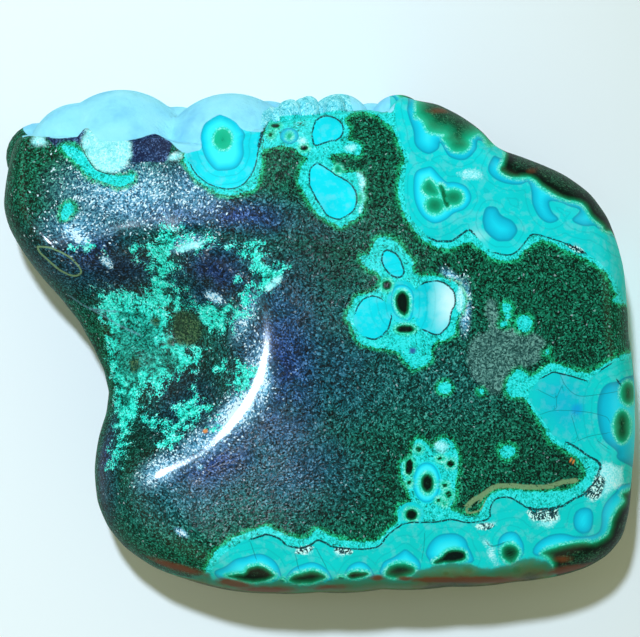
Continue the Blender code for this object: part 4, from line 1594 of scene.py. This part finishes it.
@dataclass
class Slab:
    """The stone's colours while they are laid down, mineral by mineral, in one node tree.

    read holds the mesh attributes by name, grain what a mineral's colours can follow, cover the last
    layer of each kind and colour what has been laid down so far. fine is the fine noise and ends the
    random tones of the fibre ends. The two offsets are the middling and the fine noise about zero, which
    push edges about.
    """

    tree: bpy.types.NodeTree
    read: dict[str, bpy.types.NodeSocket] = field(default_factory=dict)
    grain: dict[Grain, bpy.types.Node] = field(default_factory=dict)
    cover: dict[Kind, bpy.types.Node] = field(default_factory=dict)
    fine: bpy.types.Node = field(init=False)
    ends: bpy.types.Node = field(init=False)
    middle_offset: bpy.types.Node = field(init=False)
    fine_offset: bpy.types.Node = field(init=False)
    painted_glint: bpy.types.Node = field(init=False)
    colour: bpy.types.Node = field(init=False)

    def grow(self, names: list[str]) -> None:
        """Adds the pattern's attributes and the random grains that everything else is made from.

        Args:
            names: The mesh attributes to read.
        """
        tree = self.tree
        for name in names:
            self.read[name] = add(tree, "ShaderNodeAttribute", attribute_name=name).outputs["Fac"]
        place = add(tree, "ShaderNodeTexCoord").outputs["Object"]
        place = add(tree, "ShaderNodeVectorMath", place, None, None, 1 / MM, operation="SCALE")
        sheaf = add(tree, "ShaderNodeTexVoronoi", place, None, 1 / SHEAF_SIZE)
        sheaf = add(tree, "ShaderNodeSeparateColor", sheaf.outputs["Color"])
        turn = add(tree, "ShaderNodeMath", sheaf, 2 * math.pi, operation="MULTIPLY")
        lying = add(tree, "ShaderNodeVectorRotate", place, None, None, turn, rotation_type="Z_AXIS")
        fibres = add(tree, "ShaderNodeVectorMath", lying, (1.0, FIBRE_STRETCH, 1.0), operation="MULTIPLY")
        fine, middle, cloud = [
            add(tree, "ShaderNodeTexNoise", where, None, 1 / noise.size, noise.detail, noise.strength)
            for where, noise in ((fibres, FIBRE_ENDS), (place, CLUSTERS), (place, CLOUDS))
        ]
        ends = add(tree, "ShaderNodeTexVoronoi", fibres, None, 1 / FIBRE_ENDS.size)
        self.fine = fine
        self.ends = add(tree, "ShaderNodeSeparateColor", ends.outputs["Color"])
        self.middle_offset = add(tree, "ShaderNodeMath", middle, 0.5, operation="SUBTRACT")
        self.fine_offset = add(tree, "ShaderNodeMath", fine, 0.5, operation="SUBTRACT")
        self.grain[Grain.CLOUD] = cloud
        for grain, mix in SPECKLES.items():
            tone = self.ends.outputs[mix.channel]
            tone = add(tree, "ShaderNodeMath", tone, mix.ends, mix.shift, operation="MULTIPLY_ADD")
            tone = add(tree, "ShaderNodeMath", middle, mix.middling, tone, operation="MULTIPLY_ADD")
            self.grain[grain] = add(tree, "ShaderNodeMath", fine, mix.fine, tone, operation="MULTIPLY_ADD")

    def ragged(self, kind: Kind, middling: float, fine: float) -> bpy.types.Node:
        """The depth inside a kind's regions, in millimetres, with its edge pushed about by the grains."""
        tree, depth = self.tree, self.read[kind.value]
        depth = add(tree, "ShaderNodeMath", self.middle_offset, middling, depth, operation="MULTIPLY_ADD")
        return add(tree, "ShaderNodeMath", self.fine_offset, fine, depth, operation="MULTIPLY_ADD")

    def ground(self) -> None:
        """Lays the malachite's fibres, its navy and grey, and painted sheen, shade, glitter and glints."""
        tree, fleck, painted_sparkle = self.tree, self.grain[Grain.FLECK], self.read["painted_sparkle"]
        green, navy, grey, painted_glitter_ramp = [
            add(tree, "ShaderNodeValToRGB", fleck, stops=stops)
            for stops in (MALACHITE, NAVY_MALACHITE, GREY_MALACHITE, PAINTED_GLITTER.stops)
        ]
        patchy = add(tree, "ShaderNodeMapRange", self.grain[Grain.CLOUD], *NAVY_CLOUDS)
        tint = add(tree, "ShaderNodeMath", self.read["navy_and_painted_sheen"], patchy, operation="MULTIPLY")
        mixed = add(tree, "ShaderNodeMixRGB", self.read["grey_tint"], green, grey)
        self.colour = add(tree, "ShaderNodeMixRGB", tint, mixed, navy)
        self.stain(PAINTED_SHADE)
        painted_glitter_share = add(tree, "ShaderNodeMapRange", painted_sparkle, *PAINTED_GLITTER.edge)
        self.colour = add(tree, "ShaderNodeMixRGB", painted_glitter_share, self.colour, painted_glitter_ramp)
        tone = self.ends.outputs["Blue"]
        tone = add(tree, "ShaderNodeMath", painted_sparkle, PAINTED_GLITTER.gain, tone, operation="MULTIPLY_ADD")
        self.painted_glint = add(tree, "ShaderNodeMapRange", tone, *PAINTED_GLITTER.rarity, 0.0, PAINTED_GLITTER.cover)
        self.colour = add(tree, "ShaderNodeMixRGB", self.painted_glint, self.colour, linear(PAINTED_GLITTER.colour))

    def lay(self, mineral: Mineral) -> None:
        """Lays one mineral over what is there.

        Args:
            mineral: What to lay.
        """
        tree = self.tree
        depth = self.ragged(mineral.kind, *mineral.ragged)
        hides = (*mineral.edge, 0.0, mineral.cover)
        cover = add(tree, "ShaderNodeMapRange", depth, *hides, interpolation_type="SMOOTHSTEP")
        if mineral.grain is Grain.DEPTH:
            span = self.read[mineral.kind.value + "_value"]
            along = add(tree, "ShaderNodeMath", depth, span, operation="DIVIDE")
        else:
            along = self.grain[mineral.grain]
        shade = add(tree, "ShaderNodeValToRGB", along, stops=mineral.stops)
        self.colour = add(tree, "ShaderNodeMixRGB", cover, self.colour, shade)
        self.cover[mineral.kind] = cover

    def draw(self, vein: Vein) -> None:
        """Draws one kind of line.

        Args:
            vein: What to draw.
        """
        tree, across = self.tree, self.read[vein.name]
        offset, hides = self.middle_offset, (*vein.edge, vein.cover, 0.0)
        across = add(tree, "ShaderNodeMath", offset, vein.waver, across, operation="MULTIPLY_ADD")
        across = add(tree, "ShaderNodeMath", across, operation="ABSOLUTE")
        cover = add(tree, "ShaderNodeMapRange", across, *hides, interpolation_type="SMOOTHSTEP")
        near = add(tree, "ShaderNodeMapRange", self.read[vein.name + "_near"], *LINE_ENDS)
        whole = add(tree, "ShaderNodeMapRange", self.fine, *vein.gaps)
        for mask in (near, whole):
            cover = add(tree, "ShaderNodeMath", cover, mask, operation="MULTIPLY")
        self.colour = add(tree, "ShaderNodeMixRGB", cover, self.colour, linear(vein.colour))

    def stain(self, stain: Stain, within: bpy.types.Node | None = None) -> None:
        """Lays a soft colour over what is there.

        Args:
            stain: What to lay.
            within: A mask that keeps it to one mineral, if any.
        """
        tree, depth = self.tree, self.read[stain.name]
        depth = add(tree, "ShaderNodeMath", self.middle_offset, STAIN_WAVER, depth, operation="MULTIPLY_ADD")
        cover = add(tree, "ShaderNodeMapRange", depth, *stain.edge, 0.0, stain.cover)
        if within:
            cover = add(tree, "ShaderNodeMath", cover, within, operation="MULTIPLY")
        self.colour = add(tree, "ShaderNodeMixRGB", cover, self.colour, linear(stain.colour))

    def ring(self, ripples: Ripples) -> None:
        """Draws the growth lines in the clean mineral.

        Args:
            ripples: What they are like.
        """
        tree = self.tree
        depth = self.ragged(Kind.AZURE, ripples.waver, 0.0)
        waves = add(tree, "ShaderNodeMath", depth, 2 * math.pi / ripples.spacing, operation="MULTIPLY")
        waves = add(tree, "ShaderNodeMath", waves, operation="SINE")
        crest = add(tree, "ShaderNodeMapRange", waves, *ripples.crest, 0.0, ripples.cover)
        near = add(tree, "ShaderNodeMapRange", depth, *ripples.reach)
        for mask in (near, self.cover[Kind.CLEAN]):
            crest = add(tree, "ShaderNodeMath", crest, mask, operation="MULTIPLY")
        self.colour = add(tree, "ShaderNodeMixRGB", crest, self.colour, linear(ripples.colour))


@dataclass(frozen=True)
class PolishedStone:
    """Chrysocolla and fibrous malachite, sawn, ground and polished.

    The polish gives the eye a sharp clear gloss over a speckled ground: malachite's fibres end at the
    surface as fine flecks, and chrysocolla is even and smooth like enamel. The rounded edges are only
    ground, and the natural skin is dull. The reliefs are in metres, and each bump is the share of its
    relief that shows.
    """

    roughness: float = 0.85
    silk_roughness: float = 0.30
    coat_roughness: float = 0.1
    ior: float = 1.6
    specular: float = 0.06
    edge_gloss_lost: float = 0.9
    dendrite_gloss_lost: float = 0.5
    fibre_relief: float = 0.00012
    fibre_bump: float = 0.5
    coat_bump: float = 0.16
    skin_relief: float = 0.0006
    skin_bump: float = 0.6

    def build(self) -> bpy.types.Material:
        """Makes the material.

        Returns:
            The material, with its colours, gloss and bump from its nodes.
        """
        material = bpy.data.materials.new("chrysocolla_malachite_polished")
        material.use_nodes = True
        tree = material.node_tree
        tree.nodes.clear()
        slab = Slab(tree)
        slab.grow(PatternMap.names())
        slab.ground()
        for mineral in BENEATH:
            slab.lay(mineral)
        slab.draw(STREAK)
        slab.draw(FOLD)
        for mineral in ABOVE:
            slab.lay(mineral)
        for stain in (GREENER, PAINTED_GLARE, CLOUDED):
            slab.stain(stain, slab.cover[Kind.CLEAN])
        slab.ring(RIPPLES)
        for mineral in EYES:
            slab.lay(mineral)
        for stain in (IRON, GOLDEN, PURPLE):
            slab.stain(stain)
        slab.draw(CRACK)
        slab.draw(SEAM)
        for mineral in SKINS:
            slab.lay(mineral)
        output = add(tree, "ShaderNodeOutputMaterial", self.gloss(slab))
        output.is_active_output = True
        return material

    def gloss(self, slab: Slab) -> bpy.types.Node:
        """Adds the shader: silky under a clear polish on the face, and dull on the natural skin.

        Args:
            slab: The colours as they were laid down.

        Returns:
            The shader.
        """
        tree, cover = slab.tree, slab.cover
        natural = add(tree, "ShaderNodeMath", cover[Kind.SKIN], cover[Kind.CRUST], operation="MAXIMUM")
        even = add(tree, "ShaderNodeMath", cover[Kind.CLEAN], cover[Kind.PALE], operation="MAXIMUM")
        even = add(tree, "ShaderNodeMath", even, cover[Kind.CORE], operation="MAXIMUM")
        plain = add(tree, "ShaderNodeMath", even, cover[Kind.DENDRITE], operation="MAXIMUM")
        silk = add(tree, "ShaderNodeMath", slab.read["navy_and_painted_sheen"], slab.painted_glint, operation="MAXIMUM")
        silk = add(tree, "ShaderNodeMath", silk, plain, operation="SUBTRACT", use_clamp=True)
        rough = add(tree, "ShaderNodeMapRange", silk, 0.0, 1.0, self.roughness, self.silk_roughness)
        edge_gloss, mossy_gloss = 1 - self.edge_gloss_lost, 1 - self.dendrite_gloss_lost
        shine = add(tree, "ShaderNodeMapRange", slab.read["steep"], 0.0, 1.0, 1.0, edge_gloss)
        mossy = add(tree, "ShaderNodeMapRange", cover[Kind.DENDRITE], 0.0, 1.0, 1.0, mossy_gloss)
        shine = add(tree, "ShaderNodeMath", shine, mossy, operation="MULTIPLY")
        for matt in (slab.read["dull"], natural):
            shine = add(tree, "ShaderNodeMath", shine, matt, operation="SUBTRACT", use_clamp=True)
        tone = slab.ends.outputs["Blue"]
        fibre = add(tree, "ShaderNodeMath", tone, even, operation="SUBTRACT", use_clamp=True)
        knobbly = add(tree, "ShaderNodeMath", natural, slab.middle_offset, operation="MULTIPLY")
        grain_bump = add(tree, "ShaderNodeBump", self.fibre_bump, self.fibre_relief, None, fibre)
        skin_bump = add(tree, "ShaderNodeBump", self.skin_bump, self.skin_relief, None, knobbly, grain_bump)
        coat_bump = add(tree, "ShaderNodeBump", self.coat_bump, self.fibre_relief, None, fibre)
        shader = add(tree, "ShaderNodeBsdfPrincipled")
        shader.inputs["IOR"].default_value = self.ior
        shader.inputs["Specular IOR Level"].default_value = self.specular
        shader.inputs["Coat Roughness"].default_value = self.coat_roughness
        tree.links.new(slab.colour.outputs[0], shader.inputs["Base Color"])
        tree.links.new(rough.outputs[0], shader.inputs["Roughness"])
        tree.links.new(shine.outputs[0], shader.inputs["Coat Weight"])
        tree.links.new(skin_bump.outputs[0], shader.inputs["Normal"])
        tree.links.new(coat_bump.outputs[0], shader.inputs["Coat Normal"])
        return shader


@dataclass(frozen=True)
class WhiteTable:
    """The plain white laminate that the specimen lies on: smooth and matt."""

    colour: str = "#F2F6F7"
    roughness: float = 0.6
    half_width: float = 0.6

    def build(self) -> bpy.types.Object:
        """Makes the table top at height zero."""
        mesh = bpy.data.meshes.new("table_top")
        size = self.half_width
        corners = [(-size, -size, 0), (size, -size, 0), (size, size, 0), (-size, size, 0)]
        mesh.from_pydata(corners, [], [(0, 1, 2, 3)])
        table = bpy.data.objects.new("table_top", mesh)
        bpy.context.scene.collection.objects.link(table)
        material = bpy.data.materials.new("laminate_smooth")
        material.use_nodes = True
        shader = material.node_tree.nodes["Principled BSDF"]
        shader.inputs["Base Color"].default_value = linear(self.colour)
        shader.inputs["Roughness"].default_value = self.roughness
        mesh.materials.append(material)
        return table


@dataclass(frozen=True)
class Lamp:
    """A small round lamp that points at the stone, with lengths in metres and its power in watts."""

    name: str
    place: Place
    radius: float
    power: float
    aim: Place = (-0.045, 0.0, 0.0)
    cone: float = math.radians(24.0)
    colour: Place = (0.71, 0.84, 1.0)

    def build(self) -> bpy.types.Object:
        """Makes the lamp.

        Returns:
            The lamp's object.
        """
        light = bpy.data.lights.new(self.name, "SPOT")
        light.shadow_soft_size = self.radius
        light.spot_size = self.cone
        light.spot_blend = 1.0
        light.energy = self.power
        light.color = self.colour
        lamp = bpy.data.objects.new(self.name, light)
        lamp.location = self.place
        lamp.rotation_euler = (Vector(self.aim) - Vector(self.place)).to_track_quat("-Z", "Y").to_euler()
        bpy.context.scene.collection.objects.link(lamp)
        return lamp


@dataclass(frozen=True)
class Studio:
    """The camera straight above the stone, two lamps on its far side and an even surround.

    The key lamp gives the light and the shadow, but shows in no reflection. The fill lamp gives only the
    highlight on the hollow's rim. The surround glows from its sides up to ceiling_from, as a share of the
    way up, and has faded to the zenith's colour at ceiling_to.
    """

    camera_place: Place = (0.0002, 0.0034, 0.528)
    lens: float = 187.5
    sensor_width: float = 36.0
    nearest: float = 0.01
    key: Lamp = Lamp("key_lamp", (-0.095, 0.31, 0.93), 0.03, 36.0)
    fill: Lamp = Lamp("fill_lamp", (-0.36, 0.10, 0.93), 0.09, 22.0)
    horizon: tuple[float, float, float, float] = (0.52, 0.53, 0.31, 1.0)
    zenith: tuple[float, float, float, float] = (0.06, 0.08, 0.08, 1.0)
    ceiling_from: float = 0.6
    ceiling_to: float = 0.95

    def build(self) -> None:
        """Makes the camera, the lamps and the surround."""
        scene = bpy.context.scene
        data = bpy.data.cameras.new("camera")
        data.lens = self.lens
        data.sensor_width = self.sensor_width
        data.clip_start = self.nearest
        camera = bpy.data.objects.new("camera", data)
        camera.location = self.camera_place
        scene.collection.objects.link(camera)
        scene.camera = camera
        self.key.build().visible_glossy = False
        self.fill.build().visible_diffuse = False
        self.surround()
        scene.view_settings.view_transform = "Standard"

    def surround(self) -> None:
        """Makes an even glow from the sides that fades to a dim ceiling."""
        world = bpy.data.worlds.new("surround")
        world.use_nodes = True
        tree = world.node_tree
        place = add(tree, "ShaderNodeSeparateXYZ", add(tree, "ShaderNodeTexCoord").outputs["Generated"])
        share = add(tree, "ShaderNodeMapRange", place.outputs["Z"], self.ceiling_from, self.ceiling_to)
        glow = add(tree, "ShaderNodeMixRGB", share, self.horizon, self.zenith)
        tree.links.new(glow.outputs[0], tree.nodes["Background"].inputs["Color"])
        bpy.context.scene.world = world


def main() -> None:
    """Loads the frame, builds the stone, the table and the studio."""
    logging.basicConfig(level=logging.INFO, format="%(name)s: %(message)s")
    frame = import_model()
    stone = Stone().build()
    stone.data.materials.append(PolishedStone().build())
    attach(stone, "root")
    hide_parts(NODE)
    LOG.info("%s: %d faces", stone.name, len(stone.data.polygons))
    table = WhiteTable().build()
    LOG.info("%s in place", table.name)
    Studio().build()
    LOG.info("studio ready for %d packed node", len(frame["nodes"]))


if __name__ == "__main__":
    main()
